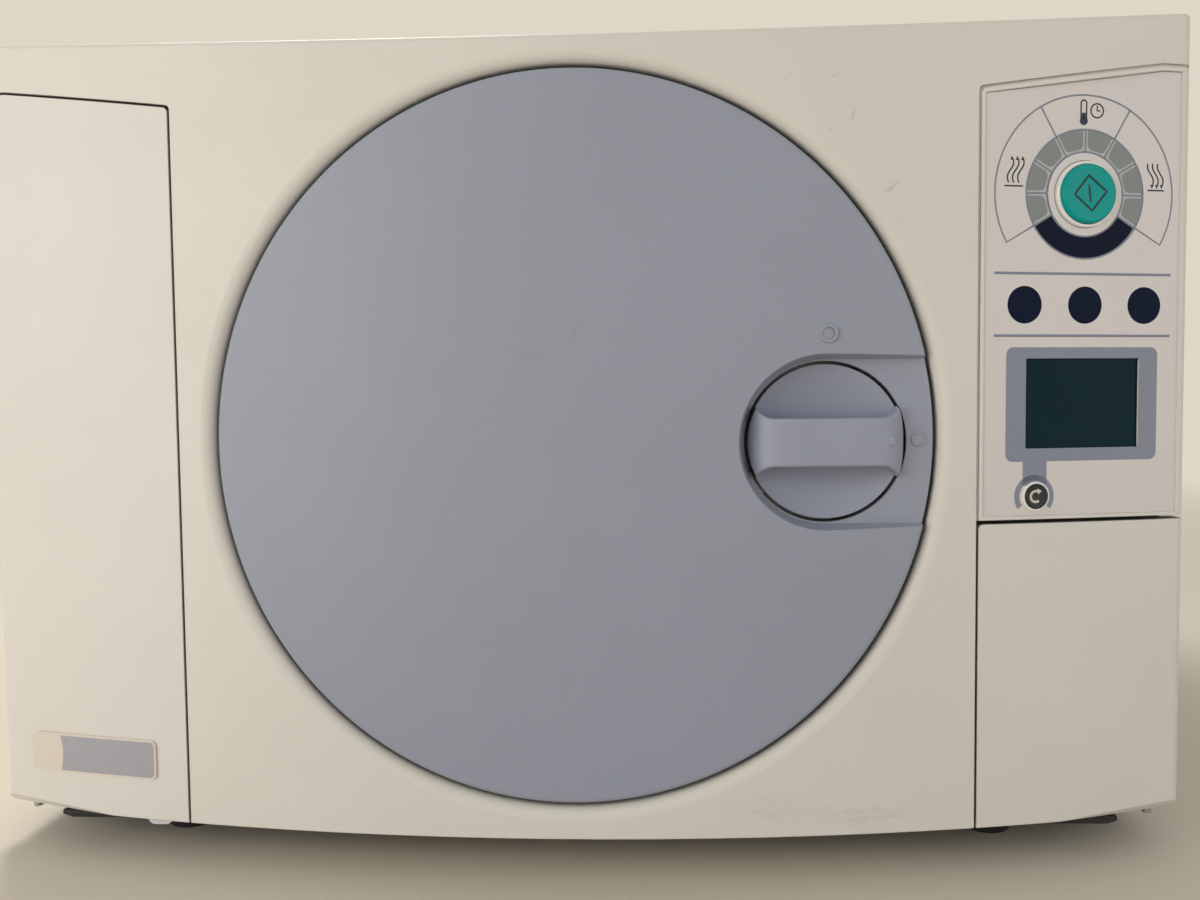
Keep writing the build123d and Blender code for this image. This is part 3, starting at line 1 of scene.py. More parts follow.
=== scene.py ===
"""Looks of a benchtop steam autoclave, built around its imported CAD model.

The file is laid out as an add-on. Metres, with the CAD's own axes: the front faces -Y, Z is up,
and the origin is under the middle of the machine on the surface that it stands on.
"""
import json
from math import cos, pi, radians, sin

import bmesh
import bpy
from bpy.props import FloatProperty, FloatVectorProperty, IntProperty, PointerProperty
from mathutils import Matrix, Vector
from mathutils.bvhtree import BVHTree


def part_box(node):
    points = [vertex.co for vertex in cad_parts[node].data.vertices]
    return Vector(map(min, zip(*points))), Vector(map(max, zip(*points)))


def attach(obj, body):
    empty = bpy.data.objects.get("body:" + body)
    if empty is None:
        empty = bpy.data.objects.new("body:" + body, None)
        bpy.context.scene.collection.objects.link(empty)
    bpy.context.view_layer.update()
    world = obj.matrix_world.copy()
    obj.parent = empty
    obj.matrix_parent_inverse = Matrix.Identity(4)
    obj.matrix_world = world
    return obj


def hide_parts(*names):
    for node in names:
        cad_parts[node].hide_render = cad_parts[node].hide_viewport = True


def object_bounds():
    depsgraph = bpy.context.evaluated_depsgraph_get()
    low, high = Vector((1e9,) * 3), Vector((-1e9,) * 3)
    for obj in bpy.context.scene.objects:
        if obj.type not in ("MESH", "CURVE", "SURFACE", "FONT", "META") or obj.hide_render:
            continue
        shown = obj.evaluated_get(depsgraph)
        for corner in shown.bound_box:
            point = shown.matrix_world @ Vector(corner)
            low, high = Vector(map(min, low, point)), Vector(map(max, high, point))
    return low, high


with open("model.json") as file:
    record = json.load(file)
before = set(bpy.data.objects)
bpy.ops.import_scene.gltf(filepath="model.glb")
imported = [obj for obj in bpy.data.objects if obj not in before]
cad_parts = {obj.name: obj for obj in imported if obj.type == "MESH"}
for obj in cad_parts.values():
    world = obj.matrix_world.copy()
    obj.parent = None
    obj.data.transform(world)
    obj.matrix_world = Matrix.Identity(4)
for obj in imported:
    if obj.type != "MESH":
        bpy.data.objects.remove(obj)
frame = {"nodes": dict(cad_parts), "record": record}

bl_info = {
    "name": "Benchtop autoclave looks",
    "version": (1, 0, 0),
    "blender": (4, 5, 0),
    "location": "View3D > Sidebar > Autoclave",
    "description": "Finishes, printed panel and stage of a benchtop steam autoclave",
    "category": "Object",
}

MM = 0.001
WALL_COLOUR = "#DFD7C6"
CAD_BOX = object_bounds()

UP = Vector((0, 0, 1))

# Radius with which the machine's front bows about an upright axis
BOW_RADIUS = 1.22
# Where the slope of the panel's top ends, across from the machine's middle
SLOPE_END = 0.27

# Heights above the panel's film, so that a print laid over another shows on top
BED_LIFT = -0.24 * MM
LINE_LIFT = 0.03 * MM
SOLID_LIFT = 0.04 * MM
ARC_LIFT = 0.05 * MM
BORDER_LIFT = 0.07 * MM
DISPLAY_LIFT = -1.55 * MM


# Colours


def linear(hex_code):
    """Linear RGBA of an sRGB hex colour."""
    values = []
    for start in (1, 3, 5):
        share = int(hex_code[start:start + 2], 16) / 255
        values.append(share / 12.92 if share <= 0.04045 else ((share + 0.055) / 1.055) ** 2.4)
    return (*values, 1.0)


# Places taken from the frame


def middle(node):
    """Middle of a CAD node's box."""
    low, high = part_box(node)
    return (Vector(low) + Vector(high)) / 2


def points_of(node):
    """Places of a CAD node's vertices."""
    return [vertex.co for vertex in frame["nodes"][node].data.vertices]


def film_face():
    """Dial centre on the front of the panel's film, with the film's across and outward directions."""
    outward = Vector()
    for face in frame["nodes"]["panel_overlay"].data.polygons:
        if face.normal.y < -0.9:
            outward += face.normal * face.area
    outward.z = 0
    outward.normalize()
    reach = max(point.dot(outward) for point in points_of("panel_overlay"))
    dial = middle("start_button")
    dial += outward * (reach - dial.dot(outward))
    return dial, UP.cross(outward), outward


DIAL, ACROSS, OUTWARD = film_face()


def on_film(point):
    """(across, up) of a point of the object, from the dial's centre."""
    offset = Vector(point) - DIAL
    return (offset.dot(ACROSS), offset.z)


def film_box(node):
    """Low and high (across, up) corners of a CAD node on the film."""
    across, up = zip(*[on_film(point) for point in points_of(node)])
    return (min(across), min(up)), (max(across), max(up))


CANCEL = on_film(middle("cancel_button"))
DISPLAY_BOX = film_box("display_window")


# Nodes and meshes


def set_inputs(tree, node, **values):
    """Links each named input that gets a socket, and sets each that gets a value."""
    for name, value in values.items():
        socket = node.inputs[name.replace("_", " ")]
        if isinstance(value, bpy.types.NodeSocket):
            tree.links.new(value, socket)
        else:
            socket.default_value = value


def add(tree, kind, settings=None, **links):
    """Adds one node, sets its sockets or properties by name, and links its inputs."""
    node = tree.nodes.new(kind)
    for key, value in (settings or {}).items():
        if key in node.inputs:
            node.inputs[key].default_value = value
        else:
            setattr(node, key, value)
    set_inputs(tree, node, **links)
    return node


def new_material(name):
    """An empty material with its surface shader, and the Object coordinates its patterns read."""
    material = bpy.data.materials.new(name)
    material.use_nodes = True
    tree = material.node_tree
    tree.nodes.clear()
    surface = add(tree, "ShaderNodeBsdfPrincipled")
    add(tree, "ShaderNodeOutputMaterial", Surface=surface.outputs[0])
    place = add(tree, "ShaderNodeTexCoord").outputs["Object"]
    return material, tree, surface, place


def calculate(tree, operation, first, second):
    """Result of a maths node on two values."""
    node = add(tree, "ShaderNodeMath", {"operation": operation})
    tree.links.new(first, node.inputs[0])
    tree.links.new(second, node.inputs[1])
    return node.outputs[0]


def ranged(tree, source, low, high, start=0.0, end=1.0, curve="LINEAR"):
    """The value taken from the range start to end into the range low to high."""
    settings = {"interpolation_type": curve, "From Min": start, "From Max": end, "To Min": low,
                "To Max": high}
    return add(tree, "ShaderNodeMapRange", settings, Value=source).outputs[0]


def noise(tree, place, size, detail, **settings):
    """Cloudy pattern with patches of about this size, in metres."""
    settings = {"Scale": 1 / size, "Detail": detail, **settings}
    return add(tree, "ShaderNodeTexNoise", settings, Vector=place).outputs["Fac"]


def bumped(tree, height, strength, distance, **links):
    """Normal of a height pattern of this depth, in metres."""
    settings = {"Strength": strength, "Distance": distance}
    return add(tree, "ShaderNodeBump", settings, Height=height, **links).outputs["Normal"]


def shade(colour, factor):
    """The colour made lighter or darker, for the small variation in one finish."""
    return (*[min(1.0, channel * factor) for channel in colour[:3]], 1.0)


def tones(tree, source, colour, dark, light):
    """A ramp from a dark to a light shade of the colour, each given as (position, factor)."""
    node = add(tree, "ShaderNodeValToRGB", Fac=source)
    for element, (position, factor) in zip(node.color_ramp.elements, (dark, light)):
        element.position = position
        element.color = shade(colour, factor)
    return node.outputs["Color"]


def paint_grain(tree, place, grain, depth):
    """Normal of an orange-peel or moulded grain of this size, in metres."""
    return bumped(tree, noise(tree, place, grain, 3.0, Roughness=0.6), 0.5, depth)


def varied(tree, place, colour, size, spread):
    """The colour with a slow drift of light and dark across the surface."""
    drift = noise(tree, place, size, 4.0, Roughness=0.55)
    return tones(tree, drift, colour, (0.32, 1 - spread), (0.68, 1 + spread))


def clear_sight(tree):
    """1 for rays from the camera and for clear reflections and views through glass, otherwise 0."""
    path = add(tree, "ShaderNodeLightPath").outputs
    clear = calculate(tree, "MAXIMUM", path["Is Glossy Ray"], path["Is Transmission Ray"])
    return calculate(tree, "MAXIMUM", path["Is Camera Ray"], clear)


def mix_shaders(tree, share, first, second):
    """The first node's shader, with this share of the second's."""
    mixed = add(tree, "ShaderNodeMixShader", Fac=share)
    tree.links.new(first.outputs[0], mixed.inputs[1])
    tree.links.new(second.outputs[0], mixed.inputs[2])
    return mixed.outputs[0]


def link_piece(name, data):
    """A new object of the scene with this data."""
    piece = bpy.data.objects.new(name, data)
    bpy.context.scene.collection.objects.link(piece)
    return piece


def solid_copy(piece):
    """Turns the evaluated piece into a plain mesh with no modifier, under the same name."""
    evaluated = piece.evaluated_get(bpy.context.evaluated_depsgraph_get())
    mesh = bpy.data.meshes.new_from_object(evaluated)
    name = piece.name
    bpy.data.objects.remove(piece)
    mesh.name = name
    return link_piece(name, mesh)


def new_curve(name, paths, dimensions):
    """A curve of straight runs in the XY plane, each open or closed."""
    curve = bpy.data.curves.new(name, "CURVE")
    curve.dimensions = dimensions
    for points, closed in paths:
        spline = curve.splines.new("POLY")
        spline.points.add(len(points) - 1)
        for point, (x, y) in zip(spline.points, points):
            point.co = (x, y, 0, 1)
        spline.use_cyclic_u = closed
    return curve


def flat_shape(name, loops, thickness, ink=None):
    """A thin plate in the XY plane. A loop inside another is a hole."""
    curve = new_curve(name, [(loop, True) for loop in loops], "2D")
    curve.fill_mode = "BOTH"
    curve.extrude = thickness / 2
    piece = solid_copy(link_piece(name, curve))
    if ink:
        piece.data.materials.append(ink)
    return piece


def polar(radius, angle):
    """Point at this radius and angle, in radians."""
    return (radius * cos(angle), radius * sin(angle))


def in_mm(points):
    """Points in metres from points in millimetres."""
    return [(x * MM, y * MM) for x, y in points]


def arc(radius, start, end, steps=48, centre=(0, 0)):
    """Points along an arc, with its angles in degrees."""
    points = []
    for step in range(steps + 1):
        angle = radians(start + (end - start) * step / steps)
        points.append((centre[0] + radius * cos(angle), centre[1] + radius * sin(angle)))
    return points


def circle(radius, steps, centre=(0, 0)):
    """Points round a circle, with none at the end that repeats the first."""
    return arc(radius, 0, 360, steps, centre)[:-1]


def rounded_box(x0, x1, y0, y1, corner, steps=6):
    """Outline of a box with round corners."""
    points = []
    for x, y, start in ((x1 - corner, y0 + corner, -90), (x1 - corner, y1 - corner, 0),
                        (x0 + corner, y1 - corner, 90), (x0 + corner, y0 + corner, 180)):
        points += arc(corner, start, start + 90, steps, (x, y))
    return points


def set_on_film(piece, lift):
    """Moves a flat print from the XY plane to the panel's film, about the dial's centre."""
    columns = (ACROSS, UP, OUTWARD, DIAL + OUTWARD * lift)
    piece.data.transform(Matrix([*zip(*columns), (0, 0, 0, 1)]))
    return piece


def slice_up(piece, pitch):
    """Cuts a flat print across at this pitch, so that it can follow a curved face."""
    form = bmesh.new()
    form.from_mesh(piece.data)
    places = [vertex.co.x for vertex in form.verts]
    at = min(places) + pitch
    while at < max(places):
        everything = form.verts[:] + form.edges[:] + form.faces[:]
        bmesh.ops.bisect_plane(form, geom=everything, plane_co=(at, 0, 0), plane_no=(1, 0, 0))
        at += pitch
    form.to_mesh(piece.data)
    form.free()


# How far in front of a node the rays start that find its face
RAY_START = 60 * MM


def drape(piece, node, centre, across, outward):
    """Lays a flat print on the front of a CAD node, each point straight behind its place."""
    faces = [tuple(face.vertices) for face in frame["nodes"][node].data.polygons]
    tree = BVHTree.FromPolygons(points_of(node), faces)
    for vertex in piece.data.vertices:
        x, y, lift = vertex.co
        start = centre + across * x + UP * y + outward * RAY_START
        hit = tree.ray_cast(start, -outward)[0]
        if hit is None:
            raise ValueError(f"{piece.name} misses {node}")
        vertex.co = hit + outward * lift


def lifted(piece, lift):
    """Raises a flat print in the XY plane."""
    for vertex in piece.data.vertices:
        vertex.co.z += lift
    return piece


def smooth_path(corners, closed, steps=10):
    """Straight runs divided finely enough to follow a dished face."""
    points = []
    ends = corners[1:] + corners[:1] if closed else corners[1:]
    for (x0, y0), (x1, y1) in zip(corners, ends):
        for step in range(steps):
            share = step / steps
            points.append((x0 + (x1 - x0) * share, y0 + (y1 - y0) * share))
    if not closed:
        points.append(corners[-1])
    return (points, closed)


# Geometry Nodes trees


def start_tree(name, sizes):
    """A tree with a geometry input, these named sizes and a Material, and its geometry output."""
    tree = bpy.data.node_groups.new(name, "GeometryNodeTree")
    tree.interface.new_socket("Geometry", in_out="INPUT", socket_type="NodeSocketGeometry")
    for label, kind, value in sizes:
        tree.interface.new_socket(label, in_out="INPUT", socket_type=kind).default_value = value
    tree.interface.new_socket("Material", in_out="INPUT", socket_type="NodeSocketMaterial")
    tree.interface.new_socket("Geometry", in_out="OUTPUT", socket_type="NodeSocketGeometry")
    return tree, add(tree, "NodeGroupInput")


def end_tree(tree, inputs, shape):
    """Realised, with its material, at the tree's end."""
    real = add(tree, "GeometryNodeRealizeInstances", Geometry=shape)
    inked = add(tree, "GeometryNodeSetMaterial", Geometry=real.outputs[0],
                Material=inputs.outputs["Material"])
    add(tree, "NodeGroupOutput", Geometry=inked.outputs[0])
    return tree


def line_tree():
    """A flat printed line of constant width along a curve."""
    sizes = [("Line width", "NodeSocketFloat", 0.7 * MM), ("Ink thickness", "NodeSocketFloat", 0.05 * MM)]
    tree, inputs = start_tree("printed line", sizes)
    section = add(tree, "GeometryNodeCurvePrimitiveQuadrilateral", Width=inputs.outputs["Line width"],
                  Height=inputs.outputs["Ink thickness"])
    upright = add(tree, "GeometryNodeSetCurveNormal", {"mode": "Z_UP"}, Curve=inputs.outputs["Geometry"])
    swept = add(tree, "GeometryNodeCurveToMesh", {"Fill Caps": True}, Curve=upright.outputs[0],
                Profile_Curve=section.outputs[0])
    return end_tree(tree, inputs, swept.outputs[0])


def ring_tree():
    """Copies of one segment turned about the origin, the same angle apart."""
    sizes = [("Count", "NodeSocketInt", 8), ("First angle", "NodeSocketFloat", 0.0),
             ("Step angle", "NodeSocketFloat", radians(30))]
    tree, inputs = start_tree("ring of segments", sizes)
    points = add(tree, "GeometryNodePoints", Count=inputs.outputs["Count"])
    index = add(tree, "GeometryNodeInputIndex").outputs[0]
    turned = calculate(tree, "MULTIPLY", index, inputs.outputs["Step angle"])
    euler = add(tree, "ShaderNodeCombineXYZ", Z=calculate(tree, "ADD", turned, inputs.outputs["First angle"]))
    rotation = add(tree, "FunctionNodeEulerToRotation", Euler=euler.outputs[0])
    copies = add(tree, "GeometryNodeInstanceOnPoints", Points=points.outputs[0],
                 Instance=inputs.outputs["Geometry"], Rotation=rotation.outputs[0])
    return end_tree(tree, inputs, copies.outputs[0])


def grow(piece, tree, material, **values):
    """Runs the tree on the piece with these inputs and returns the plain mesh it makes."""
    modifier = piece.modifiers.new(tree.name, "NODES")
    modifier.node_group = tree
    for item in tree.interface.items_tree:
        if item.in_out == "INPUT" and item.socket_type == "NodeSocketMaterial":
            modifier[item.identifier] = material
        elif item.in_out == "INPUT" and item.name.replace(" ", "_") in values:
            modifier[item.identifier] = values[item.name.replace(" ", "_")]
    return solid_copy(piece)


def printed_line(name, paths, ink, width, thickness):
    """Lines of this width along the paths, each given as (points, closed)."""
    piece = link_piece(name, new_curve(name, paths, "3D"))
    return grow(piece, line_tree(), ink, Line_width=width, Ink_thickness=thickness)


# Finishes


def blend_in(tree, amount, below, hex_code):
    """Mixes a stain's colour over another colour."""
    mixed = add(tree, "ShaderNodeMix", {"data_type": "RGBA"})
    factor, colour_a, colour_b = (mixed.inputs[index] for index in (0, 6, 7))
    tree.links.new(amount, factor)
    tree.links.new(below, colour_a)
    colour_b.default_value = linear(hex_code)
    return mixed.outputs[2]


def painted_seam_shade(tree, below):
    """Painted shade: the colour darkens towards near-black where ambient occlusion finds gaps and sharp inner
    corners.
    """
    opening = add(tree, "ShaderNodeAmbientOcclusion", {"samples": 6, "Distance": 5 * MM}).outputs["AO"]
    return blend_in(tree, ranged(tree, opening, 0.0, 0.92, 0.5, 0.05, "SMOOTHSTEP"), below, "#151517")


# How far in front of and behind its centre a scuff still shows
SCUFF_DEPTH = 12 * MM


def scuff(tree, place, below, centre, turn, length, width, strength, hex_code):
    """One rubbed mark on a front face, broken up along its length. Turn is in degrees from level."""
    settings = {"vector_type": "TEXTURE", "Location": centre, "Rotation": (0, -radians(turn), 0),
                "Scale": (length * MM / 2, SCUFF_DEPTH, width * MM / 2)}
    local = add(tree, "ShaderNodeMapping", settings, Vector=place).outputs[0]
    spot = add(tree, "ShaderNodeTexGradient", {"gradient_type": "SPHERICAL"}, Vector=local).outputs["Fac"]
    breaks = add(tree, "ShaderNodeTexNoise", {"Scale": 2.6, "Detail": 5.0, "Roughness": 0.8}, Vector=local)
    rough = ranged(tree, breaks.outputs["Fac"], 0.0, 1.0, 0.42, 0.62)
    edge = ranged(tree, spot, 0.0, strength, 0.0, 0.5)
    return blend_in(tree, calculate(tree, "MULTIPLY", rough, edge), below, hex_code)


# Centre in metres, turn in degrees, length and width in millimetres, strength and colour of each mark
FASCIA_SCUFFS = (
    ((0.1248, -0.2736, 0.3389), 69, 7, 1.5, 0.55, "#A88A62"),
    ((0.1147, -0.2746, 0.3324), 65, 4, 1.3, 0.5, "#A88A62"),
    ((0.1422, -0.2717, 0.3081), 40, 12, 2.4, 0.5, "#A88A62"),
    ((0.1169, -0.2744, 0.3559), 20, 13, 1.8, 0.3, "#9C958A"),
    ((0.0959, -0.2762, 0.3549), 37, 7, 1.6, 0.4, "#A58E6C"),
    ((0.1317, -0.2729, 0.0283), 2, 46, 11, 0.16, "#6E675E"),
    ((0.0923, -0.2765, 0.0324), -4, 60, 14, 0.12, "#6E675E"),
)
DOOR_SCUFFS = (
    ((-0.0181, -0.2799, 0.2366), -10, 20, 7, 0.28, "#85806E"),
    ((0.0023, -0.2800, 0.2454), 60, 15, 3, 0.3, "#7C6F75"),
)


def sprayed_moulding(name, hex_code, scuffs=(), roughness=0.5, grain=1.4 * MM):
    """Rigid moulded foam sprayed with textured paint: a soft sheen and a fine pebbled skin.

    The real grain is about 0.4 mm. It is drawn coarser so that it shows at all.
    """
    material, tree, surface, place = new_material(name)
    colour = varied(tree, place, linear(hex_code), 90 * MM, 0.018)
    for mark in scuffs:
        colour = scuff(tree, place, colour, *mark)
    wear = noise(tree, place, 35 * MM, 5.0)
    pebbles = noise(tree, place, grain, 3.0)
    rounded = add(tree, "ShaderNodeBevel", {"samples": 4, "Radius": 0.7 * MM}).outputs[0]
    # The base colour carries painted shade in the gaps and inner corners.
    set_inputs(tree, surface, Base_Color=painted_seam_shade(tree, colour), IOR=1.5,
               Roughness=ranged(tree, wear, roughness - 0.05, roughness + 0.07),
               Normal=bumped(tree, pebbles, 0.35, 0.09 * MM, Normal=rounded))
    return material


def even_finish(name, hex_code, drift, grain, **values):
    """A colour that drifts by (size, spread) under a grain of (size, depth), with other inputs set."""
    material, tree, surface, place = new_material(name)
    set_inputs(tree, surface, Base_Color=varied(tree, place, linear(hex_code), *drift),
               Normal=paint_grain(tree, place, *grain), **values)
    return material


def powder_coat(name, hex_code, roughness=0.42):
    """Steel sheet with baked powder paint: an even orange-peel skin under a slight gloss."""
    return even_finish(name, hex_code, (140 * MM, 0.015), (2.6 * MM, 0.06 * MM), Roughness=roughness,
                       IOR=1.52)


def ground_metal(name, hex_code, roughness, along=(1, 40, 40)):
    """Ground or rolled sheet metal: fine straight scratches that stretch the reflections."""
    material, tree, surface, place = new_material(name)
    stretch = add(tree, "ShaderNodeMapping", {"Scale": along}, Vector=place)
    lines = noise(tree, stretch.outputs[0], 25 * MM, 4.0, Roughness=0.7)
    set_inputs(tree, surface, Base_Color=tones(tree, lines, linear(hex_code), (0.3, 0.9), (0.7, 1.08)),
               Metallic=1.0, Roughness=ranged(tree, lines, roughness - 0.08, roughness + 0.1),
               Normal=bumped(tree, lines, 0.25, 0.02 * MM))
    return material


def spangled_zinc(name, hex_code):
    """Galvanised steel: patches of dull and bright crystals a few millimetres across."""
    material, tree, surface, place = new_material(name)
    cells = add(tree, "ShaderNodeTexVoronoi", {"Scale": 1 / (9 * MM), "Randomness": 1.0}, Vector=place)
    tone = add(tree, "ShaderNodeSeparateColor", Color=cells.outputs["Color"]).outputs[0]
    set_inputs(tree, surface, Base_Color=tones(tree, tone, linear(hex_code), (0.0, 0.86), (1.0, 1.1)),
               Roughness=ranged(tree, tone, 0.34, 0.52), Metallic=1.0)
    return material


def machined_casting(name, hex_code):
    """Cast aluminium, blasted and lightly machined: a cloudy grey with a sandy skin."""
    return even_finish(name, hex_code, (30 * MM, 0.06), (1.2 * MM, 0.05 * MM), Metallic=1.0, Roughness=0.38)


def moulded_plastic(name, hex_code, roughness, shine=0.5):
    """Injection-moulded ABS or nylon: even colour, a faint grain and a soft highlight."""
    return even_finish(name, hex_code, (20 * MM, 0.03), (0.9 * MM, 0.03 * MM), Roughness=roughness, IOR=1.53,
                       Specular_IOR_Level=shine)


def moulded_rubber(name, hex_code, roughness=0.75):
    """Rubber or silicone from a matt tool: dark pores and hardly any highlight."""
    material, tree, surface, place = new_material(name)
    pores = noise(tree, place, 1.1 * MM, 5.0)
    set_inputs(tree, surface, Base_Color=tones(tree, pores, linear(hex_code), (0.35, 0.75), (0.65, 1.15)),
               Roughness=roughness, Normal=bumped(tree, pores, 0.4, 0.06 * MM))
    return material


def polyester_film(name, hex_code, roughness=0.42):
    """Printed polyester film: flat colour seen through a thin satin hard coat."""
    return even_finish(name, hex_code, (60 * MM, 0.008), (0.8 * MM, 0.012 * MM), Roughness=roughness,
                       IOR=1.57)


def screen_ink(name, hex_code):
    """Screen-printed ink: matt, opaque and very slightly uneven at the mesh's pitch."""
    return even_finish(name, hex_code, (3 * MM, 0.03), (0.5 * MM, 0.01 * MM), Roughness=0.5)


def tinted_window(name, hex_code, roughness=0.12):
    """A tinted acrylic window with nothing lit behind it: deep colour under clear gloss."""
    return even_finish(name, hex_code, (12 * MM, 0.08), (6 * MM, 0.01 * MM), Roughness=roughness, IOR=1.49,
                       Specular_IOR_Level=0.06)


def clouded_tank(name, hex_code):
    """Blow-moulded polyethylene: milky, waxy and a little see-through."""
    return even_finish(name, hex_code, (70 * MM, 0.04), (14 * MM, 0.15 * MM), Roughness=0.45, IOR=1.51,
                       Transmission_Weight=0.12, Subsurface_Weight=0.15, Subsurface_Scale=4 * MM)


def mineral_wool(name, hex_code):
    """Pressed mineral wool: matt, fibrous and mottled."""
    material, tree, surface, place = new_material(name)
    fibres = noise(tree, place, 3 * MM, 8.0, Distortion=2.0)
    set_inputs(tree, surface, Base_Color=tones(tree, fibres, linear(hex_code), (0.3, 0.78), (0.7, 1.12)),
               Roughness=0.92, Normal=bumped(tree, fibres, 0.8, 0.6 * MM))
    return material


def circuit_laminate(name, hex_code):
    """Fibreglass board with green solder mask over etched copper tracks."""
    material, tree, surface, place = new_material(name)
    colour = linear(hex_code)
    level = add(tree, "ShaderNodeMapping", {"Rotation": (pi / 2, 0, 0)}, Vector=place)
    settings = {"Scale": 1 / (6 * MM), "Mortar Size": 0.06, "Color1": colour,
                "Color2": shade(colour, 0.85), "Mortar": shade(colour, 1.7)}
    tracks = add(tree, "ShaderNodeTexBrick", settings, Vector=level.outputs[0]).outputs
    set_inputs(tree, surface, Base_Color=tracks["Color"], Roughness=0.3,
               Normal=bumped(tree, tracks["Fac"], 0.2, 0.04 * MM))
    return material


# How each material slot is made: a function and what it is called with
FINISHES = {
    "case_plastic": (sprayed_moulding, "sprayed fascia moulding", "#DEDAD1", FASCIA_SCUFFS),
    "side_plastic": (sprayed_moulding, "sprayed side-door moulding", "#DEDAD3"),
    "rim_plastic": (sprayed_moulding, "sprayed bezel moulding", "#E0DCD5"),
    "case_metal": (powder_coat, "white powder coat", "#DBD7CF"),
    "base_metal": (powder_coat, "black powder coat", "#17181A", 0.5),
    "zinc_sheet": (spangled_zinc, "galvanised sheet", "#A9ABAC"),
    "stainless": (ground_metal, "ground stainless steel", "#BFC0C0", 0.26),
    "pin_steel": (ground_metal, "turned bright steel", "#B4B4B6", 0.22, (40, 40, 1)),
    "plate_metal": (machined_casting, "cast aluminium", "#B3B5B8"),
    "door_plastic": (sprayed_moulding, "sprayed door moulding", "#999EAD", DOOR_SCUFFS, 0.46),
    "handle_plastic": (sprayed_moulding, "sprayed handle moulding", "#9A9FB0", (), 0.44, 1.1 * MM),
    "foot_rubber": (moulded_rubber, "black rubber", "#1B1B1C"),
    "seal_rubber": (moulded_rubber, "red silicone", "#A8453A", 0.6),
    "tab_plastic": (moulded_plastic, "clear tab plastic", "#DADCDB", 0.15),
    "badge_plastic": (polyester_film, "badge film", "#DDD2C6", 0.34),
    "film_plastic": (polyester_film, "panel film", "#DAD4D1"),
    "navy_lens": (tinted_window, "navy window", "#00102D"),
    "grey_lens": (tinted_window, "grey window", "#858883", 0.3),
    "ring_plastic": (moulded_plastic, "white ring plastic", "#F1EFEA", 0.22),
    "start_plastic": (moulded_plastic, "teal button plastic", "#009E97", 0.16, 0.12),
    "dark_plastic": (moulded_plastic, "charcoal button plastic", "#26292C", 0.28, 0.25),
    "display_glass": (tinted_window, "display window", "#00262F", 0.1),
    "board_green": (circuit_laminate, "circuit board", "#1D6B3C"),
    "tank_plastic": (clouded_tank, "milky tank plastic", "#DDE3E6"),
    "blue_plastic": (moulded_plastic, "blue cap plastic", "#2A4FA8", 0.3),
    "filter_plastic": (moulded_plastic, "clear filter plastic", "#DCE5EA", 0.18),
    "brass_metal": (ground_metal, "turned brass", "#C9A45C", 0.3, (40, 1, 40)),
    "copper_pipe": (ground_metal, "drawn copper", "#C07A50", 0.32, (1, 1, 30)),
    "black_plastic": (moulded_plastic, "black nylon", "#151517", 0.45),
    "red_plastic": (moulded_plastic, "red plastic", "#B3221E", 0.3),
    "pump_metal": (powder_coat, "charcoal enamel", "#3A3D42", 0.35),
    "foam": (mineral_wool, "mineral wool", "#BDB8A6"),
}


def dress(*nodes):
    """Gives CAD nodes the finish of their material slot."""
    slots = {part["node"]: part["material_slot"] for part in frame["record"]["subparts"]}
    for name in nodes:
        finish = finish_of(slots[name])
        piece = frame["nodes"][name]
        piece.data.materials.clear()
        piece.data.materials.append(finish)


def finish_of(slot):
    """One material per slot, made when it is first asked for."""
    for material in bpy.data.materials:
        if material.get("slot") == slot:
            return material
    make, *values = FINISHES[slot]
    material = make(*values)
    material["slot"] = slot
    return material


# Stage


# Name, place, side, power and colour of each lamp, and the point that they all face
LAMPS = (
    ("key lamp", (-1.2, -1.35, 0.45), 1.3, 14.4, (1.0, 0.972, 0.93)),
    ("overhead lamp", (-0.6, 0.9, 1.8), 0.8, 24.0, (1.0, 0.985, 0.95)),
    ("fill lamp", (1.5, -1.4, 0.45), 1.4, 6.8, (0.93, 0.96, 1.0)),
)
LAMP_AIM = Vector((0, -0.2, 0.2))


class StageSizes(bpy.types.PropertyGroup):
    lens: FloatProperty(name="Lens", description="Focal length for a 36 mm wide frame", default=27.21,
                        unit="CAMERA")
    camera: FloatVectorProperty(name="Camera", description="Where the camera stands",
                                subtype="TRANSLATION", default=(0.02892, -0.67757, 0.21241))
    yaw: FloatProperty(name="Yaw", description="Turn to the camera's right", default=-0.03874,
                       subtype="ANGLE")
    pitch: FloatProperty(name="Pitch", description="Tilt down", default=0.04477, subtype="ANGLE")
    roll: FloatProperty(name="Roll", description="Turn about the line of sight", default=0.01086,
                        subtype="ANGLE")
    floor: FloatProperty(name="Floor", description="Radius of the floor", default=6.0, unit="LENGTH")
    floor_colour: FloatVectorProperty(name="Floor colour", description="Colour of the floor",
                                      subtype="COLOR", size=4, default=linear("#D9D0BF"), min=0, max=1)


